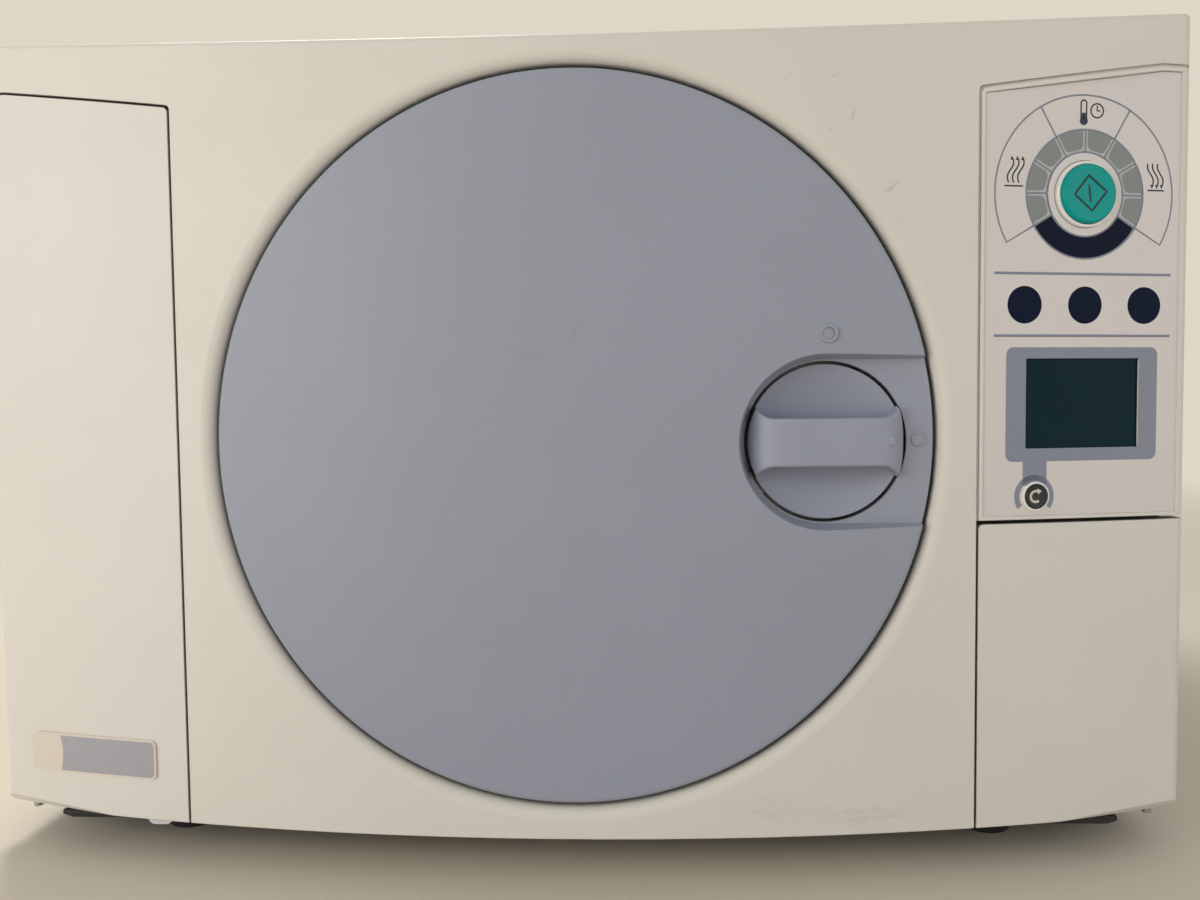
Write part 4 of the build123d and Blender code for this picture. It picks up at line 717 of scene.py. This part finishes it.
class OBJECT_OT_autoclave_stage(bpy.types.Operator):
    """Floor, soft studio light and the camera at the photograph's angle"""
    bl_idname = "object.autoclave_stage"
    bl_label = "Stage"

    def execute(self, context):
        sizes = context.scene.autoclave_stage
        self.make_floor(sizes)
        self.make_world(context)
        self.make_lamps()
        self.make_camera(context, sizes)
        context.scene.view_settings.view_transform = "Standard"
        return {"FINISHED"}

    def make_floor(self, sizes):
        """A round floor, much wider than the view."""
        mesh = bpy.data.meshes.new("floor")
        form = bmesh.new()
        bmesh.ops.create_circle(form, cap_ends=True, segments=96, radius=sizes.floor)
        form.to_mesh(mesh)
        form.free()
        floor = link_piece("floor", mesh)
        material, tree, surface, place = new_material("pale floor")
        set_inputs(tree, surface, Base_Color=varied(tree, place, tuple(sizes.floor_colour), 0.5, 0.01),
                   Roughness=0.6)
        self.fade_out(tree, surface, place)
        mesh.materials.append(material)

    def fade_out(self, tree, surface, place):
        """Far from the object the floor turns into the wall behind it, with no horizon."""
        distance = add(tree, "ShaderNodeVectorMath", {"operation": "LENGTH"}, Vector=place)
        far = ranged(tree, distance.outputs["Value"], 0.0, 1.0, 0.7, 2.6, "SMOOTHSTEP")
        share = calculate(tree, "MULTIPLY", far, clear_sight(tree))
        wall = add(tree, "ShaderNodeEmission", {"Color": linear(WALL_COLOUR), "Strength": 1.0})
        output = next(node for node in tree.nodes if node.type == "OUTPUT_MATERIAL")
        set_inputs(tree, output, Surface=mix_shaders(tree, share, surface, wall))

    def make_world(self, context):
        """The camera and clear reflections see a pale wall, and surfaces get soft light from above."""
        world = bpy.data.worlds.new("studio")
        context.scene.world = world
        world.use_nodes = True
        tree = world.node_tree
        tree.nodes.clear()
        seen = clear_sight(tree)
        wall = add(tree, "ShaderNodeBackground", {"Color": linear(WALL_COLOUR), "Strength": 1.0})
        direction = add(tree, "ShaderNodeTexCoord").outputs["Generated"]
        height = add(tree, "ShaderNodeSeparateXYZ", Vector=direction).outputs["Z"]
        level = ranged(tree, height, 0.28, 0.55, 0.05, 0.8)
        glow = add(tree, "ShaderNodeBackground", {"Color": linear("#F5F3F1")}, Strength=level)
        add(tree, "ShaderNodeOutputWorld", Surface=mix_shaders(tree, seen, glow, wall))

    def make_lamps(self):
        """Large soft lamps low to the left and the right, and one high behind the object."""
        for name, place, size, power, colour in LAMPS:
            light = bpy.data.lights.new(name, "AREA")
            light.shape = "SQUARE"
            light.size = size
            light.energy = power
            light.color = colour
            lamp = link_piece(name, light)
            lamp.location = place
            lamp.rotation_euler = (LAMP_AIM - lamp.location).to_track_quat("-Z", "Y").to_euler()

    def make_camera(self, context, sizes):
        """The camera, turned by its yaw, then its pitch and then its roll."""
        data = bpy.data.cameras.new("photo camera")
        data.sensor_width = 36.0
        data.lens = sizes.lens
        data.clip_start = 0.01
        camera = link_piece("photo camera", data)
        forward = Vector((sin(sizes.yaw) * cos(sizes.pitch), cos(sizes.yaw) * cos(sizes.pitch),
                          -sin(sizes.pitch)))
        level = Vector((cos(sizes.yaw), -sin(sizes.yaw), 0))
        down = forward.cross(level)
        right = level * cos(sizes.roll) + down * sin(sizes.roll)
        up = level * sin(sizes.roll) - down * cos(sizes.roll)
        turn = Matrix((right, up, -forward)).transposed()
        camera.matrix_world = Matrix.Translation(sizes.camera) @ turn.to_4x4()
        context.scene.camera = camera


# Finishes of the carried-over nodes, group by group


class OBJECT_OT_autoclave_case(bpy.types.Operator):
    """Mouldings of the front, the sheet-metal casing, the base and the feet"""
    bl_idname = "object.autoclave_case"
    bl_label = "Case"

    def execute(self, context):
        dress("front_fascia", "outer_casing", "base_pan", "rubber_feet", "rear_panel", "front_bulkhead",
              "tank_door", "service_door", "panel_bezel", "finger_tab", "badge_plate", "casing_screws")
        return {"FINISHED"}


class OBJECT_OT_autoclave_door(bpy.types.Operator):
    """Main door, its handle and its lock"""
    bl_idname = "object.autoclave_door"
    bl_label = "Main door"

    def execute(self, context):
        dress("door_cover", "door_liner", "cover_screws", "pressure_plate", "door_seal", "bolt_guides",
              "door_arm", "door_knob", "knob_spindle", "lock_pinion", "left_bolt", "right_bolt",
              "bolt_keepers", "hinge_brackets", "hinge_pins")
        return {"FINISHED"}


class OBJECT_OT_autoclave_works(bpy.types.Operator):
    """Chamber, trays, tank and the machinery inside the casing"""
    bl_idname = "object.autoclave_works"
    bl_label = "Works"

    def execute(self, context):
        dress("chamber_vessel", "insulation_jacket", "band_heater", "chamber_saddles", "tray_rack", "trays",
              "water_tank", "tank_cap", "air_filter", "drain_valve", "drain_knob", "steam_generator",
              "vacuum_pump", "condenser", "fan_frame", "fan_rotor", "valve_block", "power_supply",
              "safety_valve", "steam_pipes", "control_board")
        return {"FINISHED"}


class OBJECT_OT_autoclave_rear(bpy.types.Operator):
    """Fittings on the rear panel"""
    bl_idname = "object.autoclave_rear"
    bl_label = "Rear fittings"

    def execute(self, context):
        dress("mains_switch", "mains_rocker", "mains_inlet", "fuse_caps", "drain_outlets")
        return {"FINISHED"}


class OBJECT_OT_autoclave_panel_parts(bpy.types.Operator):
    """Film, windows and buttons of the control panel"""
    bl_idname = "object.autoclave_panel_parts"
    bl_label = "Panel parts"

    def execute(self, context):
        dress("panel_overlay", "status_lenses", "button_rings", "start_button", "cancel_button",
              "display_window")
        return {"FINISHED"}


# Prints on the panel


class PrintSizes(bpy.types.PropertyGroup):
    line: FloatProperty(name="Thin line", description="Width of the dial's outlines", default=0.75 * MM,
                        unit="LENGTH")
    rule: FloatProperty(name="Rule", description="Width of the rules across the panel", default=1.15 * MM,
                        unit="LENGTH")
    symbol_line: FloatProperty(name="Symbol line", description="Width of the symbols' strokes",
                               default=0.66 * MM, unit="LENGTH")
    ink: FloatProperty(name="Ink", description="Thickness of the ink", default=0.05 * MM, unit="LENGTH")
    dial_radius: FloatProperty(name="Dial", description="Radius of the dial's outer line", default=44 * MM,
                               unit="LENGTH")
    ring_outer: FloatProperty(name="Ring outside", description="Outer radius of the progress ring",
                              default=28.8 * MM, unit="LENGTH")
    ring_inner: FloatProperty(name="Ring inside", description="Inner radius of the progress ring",
                              default=18.8 * MM, unit="LENGTH")
    segments: IntProperty(name="Segments", description="Segments in the progress ring", default=8, min=1)
    ring_start: FloatProperty(name="Ring start", description="Where the first segment starts",
                              default=radians(-30), subtype="ANGLE")


class OBJECT_OT_autoclave_progress_ring(bpy.types.Operator):
    """Progress ring round the start button: its segments, their outlines and the long arc below"""
    bl_idname = "object.autoclave_progress_ring"
    bl_label = "Progress ring"

    def execute(self, context):
        sizes = context.scene.autoclave_print
        start = sizes.ring_start
        step = (pi - 2 * start) / sizes.segments
        inner = sizes.ring_inner
        outer = sizes.ring_outer
        edge = sizes.line
        bed = flat_shape("ring_bed", [circle(outer, 128), circle(inner, 96)], 0.5 * MM,
                         screen_ink("pale ring ink", "#B4B8B9"))
        set_on_film(bed, BED_LIFT)
        half = step / 2
        segment = flat_shape("ring_segments", [self.segment(inner, outer, half, edge)], sizes.ink)
        segment = grow(segment, ring_tree(), screen_ink("segment grey ink", "#848887"),
                       Count=sizes.segments, First_angle=start + half, Step_angle=step)
        set_on_film(segment, SOLID_LIFT)
        spokes = printed_line("ring_lines", self.lines(inner, outer, start, step, sizes.segments),
                              screen_ink("lilac-grey ink", "#868B9C"), edge, sizes.ink)
        set_on_film(spokes, BORDER_LIFT)
        low = flat_shape("ring_low_arc", [self.low_arc(inner, outer, start, edge)], sizes.ink,
                         tinted_window("navy arc", "#021129"))
        set_on_film(low, ARC_LIFT)
        for piece in (bed, segment, spokes, low):
            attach(piece, "machine")
        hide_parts("progress_lenses")
        return {"FINISHED"}

    def segment(self, inner, outer, half, edge):
        """One segment about the X axis, with rounded inner corners and straight sides."""
        gap = 1.6 * edge
        top = outer - edge * 0.4
        low = inner + edge * 1.4
        corner = 2.2 * MM
        limit = half - gap / top
        tip = half - gap / (low + corner)
        bend = half - gap / low - corner / low
        rounding = []
        for step in range(5):
            turn = radians(22.5 * step)
            rounding.append((low + corner * (1 - sin(turn)), bend + (tip - bend) * cos(turn)))
        places = [(top, max(-limit, min(limit, -half + 2 * half * step / 12))) for step in range(13)]
        places += [(low + corner, tip), *rounding]
        places += [(low, bend - 2 * bend * step / 8) for step in range(9)]
        places += [(radius, -angle) for radius, angle in reversed(rounding)]
        return [polar(radius, angle) for radius, angle in places]

    def lines(self, inner, outer, start, step, count):
        """The ring's two borders and the line between each pair of segments."""
        paths = [(circle(outer, 128), True), (circle(inner, 96), True)]
        for index in range(count + 1):
            angle = start + index * step
            paths.append(([polar(inner, angle), polar(outer, angle)], False))
        return paths

    def low_arc(self, inner, outer, start, edge):
        """The long dark arc under the button."""
        clearance = 1.2
        first = 180 - start * 180 / pi + clearance
        last = 360 + start * 180 / pi - clearance
        return arc(outer - edge * 0.5, first, last, 40) + arc(inner + edge * 0.5, last, first, 40)


class OBJECT_OT_autoclave_panel_print(bpy.types.Operator):
    """Dial outlines, rules and the frame printed round the display and the cancel button"""
    bl_idname = "object.autoclave_panel_print"
    bl_label = "Panel print"

    def execute(self, context):
        sizes = context.scene.autoclave_print
        ink = screen_ink("outline ink", "#868B9C")
        dial = printed_line("dial_outline", self.dial(sizes), ink, sizes.line, sizes.ink)
        rules = [(in_mm([(-43.9, height), (43.9, height)]), False) for height in (-35.6, -63.4)]
        rules = printed_line("panel_rules", rules, ink, sizes.rule, sizes.ink)
        frame_print = flat_shape("display_frame_print", self.display_frame(), sizes.ink, ink)
        collar = flat_shape("cancel_collar_print", self.collar(), sizes.ink, ink)
        for piece in (dial, rules, frame_print, collar):
            set_on_film(piece, LINE_LIFT)
            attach(piece, "machine")
        return {"FINISHED"}

    def dial(self, sizes):
        """The outer arc, closed at both ends, and its two dividing spokes."""
        start = sizes.ring_start * 180 / pi
        first = polar(sizes.ring_outer, radians(start))
        last = (-first[0], first[1])
        paths = [([first, *arc(sizes.dial_radius, start, 180 - start, 96), last], False)]
        for angle in (radians(60), radians(120)):
            paths.append(([polar(sizes.ring_outer, angle), polar(sizes.dial_radius, angle)], False))
        return paths

    def display_frame(self):
        """A rounded frame round the display, with a stem down to the cancel button."""
        low, high = DISPLAY_BOX
        foot = -120.1 * MM
        outline = rounded_box(-37.8 * MM, 37.8 * MM, foot, -68.6 * MM, 3.5 * MM)
        left, right, neck = -29.2 * MM, -17.4 * MM, CANCEL[1] + 5 * MM
        stem = [(left, foot), (left, neck), (right, neck), (right, foot)]
        hole = rounded_box(low[0], high[0], low[1], high[1], 0.6 * MM, 3)
        return [outline + stem, hole]

    def collar(self):
        """Two horns round the cancel button, open below it."""
        outside = arc(9.8 * MM, -35, 215, 48, CANCEL)
        inside = arc(7.2 * MM, 215, -35, 40, CANCEL)
        return [outside + inside]


class OBJECT_OT_autoclave_badge(bpy.types.Operator):
    """Bare printed field of the badge, with its pale end and border left as the plate"""
    bl_idname = "object.autoclave_badge"
    bl_label = "Badge"

    def execute(self, context):
        low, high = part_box("badge_plate")
        border = 1.0 * MM
        wide = (high[0] - low[0]) / 2 - border
        tall = (high[2] - low[2]) / 2 - border
        bulge = arc(26 * MM, -20.5, 20.5, 12, (-wide - 9.5 * MM, 0))
        outline = [point for point in rounded_box(-wide, wide, -tall, tall, 2.2 * MM) if point[0] > 0]
        edge = [point for point in bulge if abs(point[1]) < tall]
        outline = [(edge[0][0], -tall)] + outline + [(edge[-1][0], tall)] + edge[::-1]
        field = flat_shape("badge_field", [outline], 0.06 * MM, screen_ink("badge lilac-grey ink", "#A5A5AC"))
        slice_up(field, 3 * MM)
        drape(lifted(field, LINE_LIFT), "badge_plate", middle("badge_plate"), Vector((1, 0, 0)),
              Vector((0, -1, 0)))
        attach(field, "tank_side_door")
        return {"FINISHED"}


class OBJECT_OT_autoclave_symbols(bpy.types.Operator):
    """Plain symbols for heating, holding time and drying, and those on the two buttons"""
    bl_idname = "object.autoclave_symbols"
    bl_label = "Symbols"

    def execute(self, context):
        sizes = context.scene.autoclave_print
        ink = screen_ink("navy ink", "#0A1430")
        for name, paths in (
            ("heating_symbol", self.steam(-37.4, 4.3, 1) + [self.bar(-39.4, -30.4, 2.9)]),
            ("drying_symbol", self.steam(32.1, 4.4, -1) + [self.bar(31.5, 39.8, 2.6)]),
            ("holding_symbol", self.clock_and_tube()),
        ):
            piece = printed_line(name, paths, ink, sizes.symbol_line, sizes.ink)
            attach(set_on_film(piece, LINE_LIFT), "machine")
        self.button_symbols(sizes)
        heads = [self.arrow_head(-35.8 + 2.6 * index, 15.5, 1) for index in range(3)]
        heads += [self.arrow_head(33.7 + 2.4 * index, 3.9, -1) for index in range(3)]
        heads.append(circle(2.0 * MM, 32, (-1.0 * MM, 32.7 * MM)))
        heads.append(rounded_box(-1.9 * MM, -0.1 * MM, 33.2 * MM, 36.2 * MM, 0.2 * MM, 2))
        for index, loop in enumerate(heads):
            solid = flat_shape(f"symbol_solid_{index + 1}", [loop], sizes.ink, ink)
            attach(set_on_film(solid, SOLID_LIFT), "machine")
        return {"FINISHED"}

    def button_symbols(self, sizes):
        """A diamond with a bar on the start button, and a turned arrow on the cancel button."""
        diamond = smooth_path(in_mm([(-0.1, 7.8), (8.8, 0.9), (1.7, -7.8), (-7.0, -0.7)]), True)
        stroke = smooth_path(in_mm([(0.1, 3.7), (1.0, -4.0)]), False)
        symbol = printed_line("start_symbol", [diamond, stroke], screen_ink("engraved dark ink", "#0B262B"),
                              0.95 * MM, sizes.ink)
        drape(lifted(symbol, LINE_LIFT), "start_button", middle("start_button"), ACROSS, OUTWARD)
        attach(symbol, "start_key")
        cream = screen_ink("cream ink", "#D8D2C2")
        letter = printed_line("cancel_symbol", [(arc(2.45 * MM, 62, 308, 40), False)], cream, 1.15 * MM,
                              sizes.ink)
        head = flat_shape("cancel_arrow", [in_mm([(0.6, 3.7), (2.9, 2.5), (1.3, 0.9)])], sizes.ink, cream)
        for piece in (letter, head):
            drape(lifted(piece, LINE_LIFT), "cancel_button", middle("cancel_button"), ACROSS, OUTWARD)
            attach(piece, "cancel_key")

    def bar(self, x0, x1, y):
        """A level line, in millimetres."""
        return (in_mm([(x0, y), (x1, y)]), False)

    def steam(self, x, y, way):
        """Three wavy lines of steam, side by side, from this point in millimetres."""
        paths = []
        for index in range(3):
            points = []
            for step in range(25):
                share = step / 24
                sway = -1.3 * sin(2 * pi * share * 0.9) * way
                lean = 1.6 * share if way > 0 else 1.6 * (1 - share)
                points.append((x + 2.5 * index + sway * 0.8 + lean, y + 10.2 * share))
            paths.append((in_mm(points), False))
        return paths

    def arrow_head(self, x, y, way):
        """A small triangle that points up or down, at this point in millimetres."""
        return in_mm([(x, y + 0.6 * way), (x + 0.85, y - 1.2 * way), (x - 0.85, y - 1.2 * way)])

    def clock_and_tube(self):
        """A thermometer's tube and a clock face beside it."""
        tube = in_mm([(-2.35, 34.0), (-2.35, 40.4)])
        tube += arc(1.35 * MM, 180, 0, 10, (-1.0 * MM, 40.4 * MM))
        tube += in_mm([(0.35, 34.0)])
        face = circle(3.1 * MM, 40, (5.6 * MM, 37.3 * MM))
        hands = in_mm([(5.6, 39.6), (5.6, 37.3), (7.1, 37.3)])
        return [(tube, False), (face, True), (hands, False)]


class OBJECT_OT_autoclave_fittings(bpy.types.Operator):
    """Display face, a pale strip in the seam round the panel as a painted highlight, painted shadow lines
    along the film's top and round the start ring, and the mark on the handle
    """
    bl_idname = "object.autoclave_fittings"
    bl_label = "Fittings"

    def execute(self, context):
        self.display_face()
        self.panel_trim()
        self.painted_edge_shadows(context.scene.autoclave_print)
        self.handle_mark()
        return {"FINISHED"}

    def display_face(self):
        """The display's window, close behind the film."""
        low, high = DISPLAY_BOX
        face = flat_shape("display_face", [rounded_box(low[0], high[0], low[1], high[1], 0.5 * MM, 4)],
                          0.9 * MM, finish_of("display_glass"))
        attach(set_on_film(face, DISPLAY_LIFT), "machine")
        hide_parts("display_window")

    def panel_trim(self):
        """A pale strip just behind the seam on the panel's left side and along its sloping top: a painted
        highlight that stands in for the light on the bezel's rounded rim.
        """
        low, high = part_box("panel_bezel")
        gap = 0.6 * MM
        depth = 1.1 * MM
        left = low[0] - gap
        corner = max(point.z for point in points_of("panel_bezel") if point.x < low[0] + 4 * MM) + 0.4 * MM
        top = high[2] + gap
        path = smooth_path([(left, low[2]), (left, corner - 2 * MM), (left + 1.2 * MM, corner - 0.4 * MM),
                            (SLOPE_END, top), (high[0] - 2.5 * MM, top)], False, 12)
        # Pale plastic that paints the highlight along the bezel's edge into the seam.
        highlight_strip = printed_line("panel_trim", [path], moulded_plastic("pale seam trim", "#CFCBC3", 0.5),
                            1.9 * MM, 0.8 * MM)
        for vertex in highlight_strip.data.vertices:
            x, up, lift = vertex.co
            sag = BOW_RADIUS - (BOW_RADIUS**2 - x**2) ** 0.5
            vertex.co = (x, CAD_BOX[0][1] + sag + depth - lift, up)
        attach(highlight_strip, "machine")

    def painted_edge_shadows(self, sizes):
        """Painted shadow: a dark line where the bezel's rim shades the film's top edge, and a dark line of
        painted shade in the gap round the start ring.
        """
        places = [on_film(point) for point in points_of("panel_overlay")]
        rim = sorted({(round(across, 5), round(up, 5)) for across, up in places if up > 30 * MM})
        # Grey ink that paints the shade along these edges.
        ink = screen_ink("film edge shade", "#77767A")
        for name, path, width in (
            ("film_top_edge", smooth_path(rim, False, 6), 0.45 * MM),
            ("start_ring_gap", (circle(15.0 * MM, 72), True), 0.35 * MM),
        ):
            piece = printed_line(name, [path], ink, width, sizes.ink)
            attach(set_on_film(piece, LINE_LIFT), "machine")

    def handle_mark(self):
        """The small raised disc on the handle's bar, which points at the marks on the door."""
        mesh = bpy.data.meshes.new("handle_mark")
        form = bmesh.new()
        profile = ((0.0, 3.0), (1.2, 2.98), (1.9, 2.9), (2.35, 2.65), (2.6, 2.2), (2.65, 0.0), (0.0, 0.0))
        edge = [form.verts.new((radius * MM, 0, height * MM)) for radius, height in profile]
        lines = [form.edges.new(pair) for pair in zip(edge, edge[1:])]
        bmesh.ops.spin(form, geom=edge + lines, cent=(0, 0, 0), axis=(0, 0, 1), angle=2 * pi, steps=48)
        bmesh.ops.remove_doubles(form, verts=form.verts[:], dist=1e-6)
        bmesh.ops.recalc_face_normals(form, faces=form.faces[:])
        for face in form.faces:
            face.smooth = True
        form.to_mesh(mesh)
        form.free()
        mark = link_piece("handle_mark", mesh)
        knob = middle("door_knob")
        place = Matrix.Translation((knob.x + 26.3 * MM, CAD_BOX[0][1] + 6.6 * MM, knob.z + 0.3 * MM))
        mesh.transform(place @ Matrix.Rotation(radians(90), 4, "X") @ Matrix.Rotation(radians(10), 4, "Y"))
        mesh.materials.append(finish_of("handle_plastic"))
        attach(mark, "door_handle")


class VIEW3D_PT_autoclave(bpy.types.Panel):
    """Buttons that build the autoclave's looks, in order"""
    bl_idname = "VIEW3D_PT_autoclave"
    bl_label = "Autoclave"
    bl_space_type = "VIEW_3D"
    bl_region_type = "UI"
    bl_category = "Autoclave"

    def draw(self, context):
        for operator in STEPS:
            self.layout.operator(operator.bl_idname)


STEPS = (
    OBJECT_OT_autoclave_stage,
    OBJECT_OT_autoclave_case,
    OBJECT_OT_autoclave_door,
    OBJECT_OT_autoclave_works,
    OBJECT_OT_autoclave_rear,
    OBJECT_OT_autoclave_panel_parts,
    OBJECT_OT_autoclave_progress_ring,
    OBJECT_OT_autoclave_panel_print,
    OBJECT_OT_autoclave_symbols,
    OBJECT_OT_autoclave_badge,
    OBJECT_OT_autoclave_fittings,
)
CLASSES = (StageSizes, PrintSizes, *STEPS, VIEW3D_PT_autoclave)


def register():
    for item in CLASSES:
        bpy.utils.register_class(item)
    bpy.types.Scene.autoclave_stage = PointerProperty(type=StageSizes)
    bpy.types.Scene.autoclave_print = PointerProperty(type=PrintSizes)


def unregister():
    del bpy.types.Scene.autoclave_print
    del bpy.types.Scene.autoclave_stage
    for item in reversed(CLASSES):
        bpy.utils.unregister_class(item)


def main():
    register()
    for operator in STEPS:
        group, name = operator.bl_idname.split(".")
        getattr(getattr(bpy.ops, group), name)()


if __name__ == "__main__":
    main()
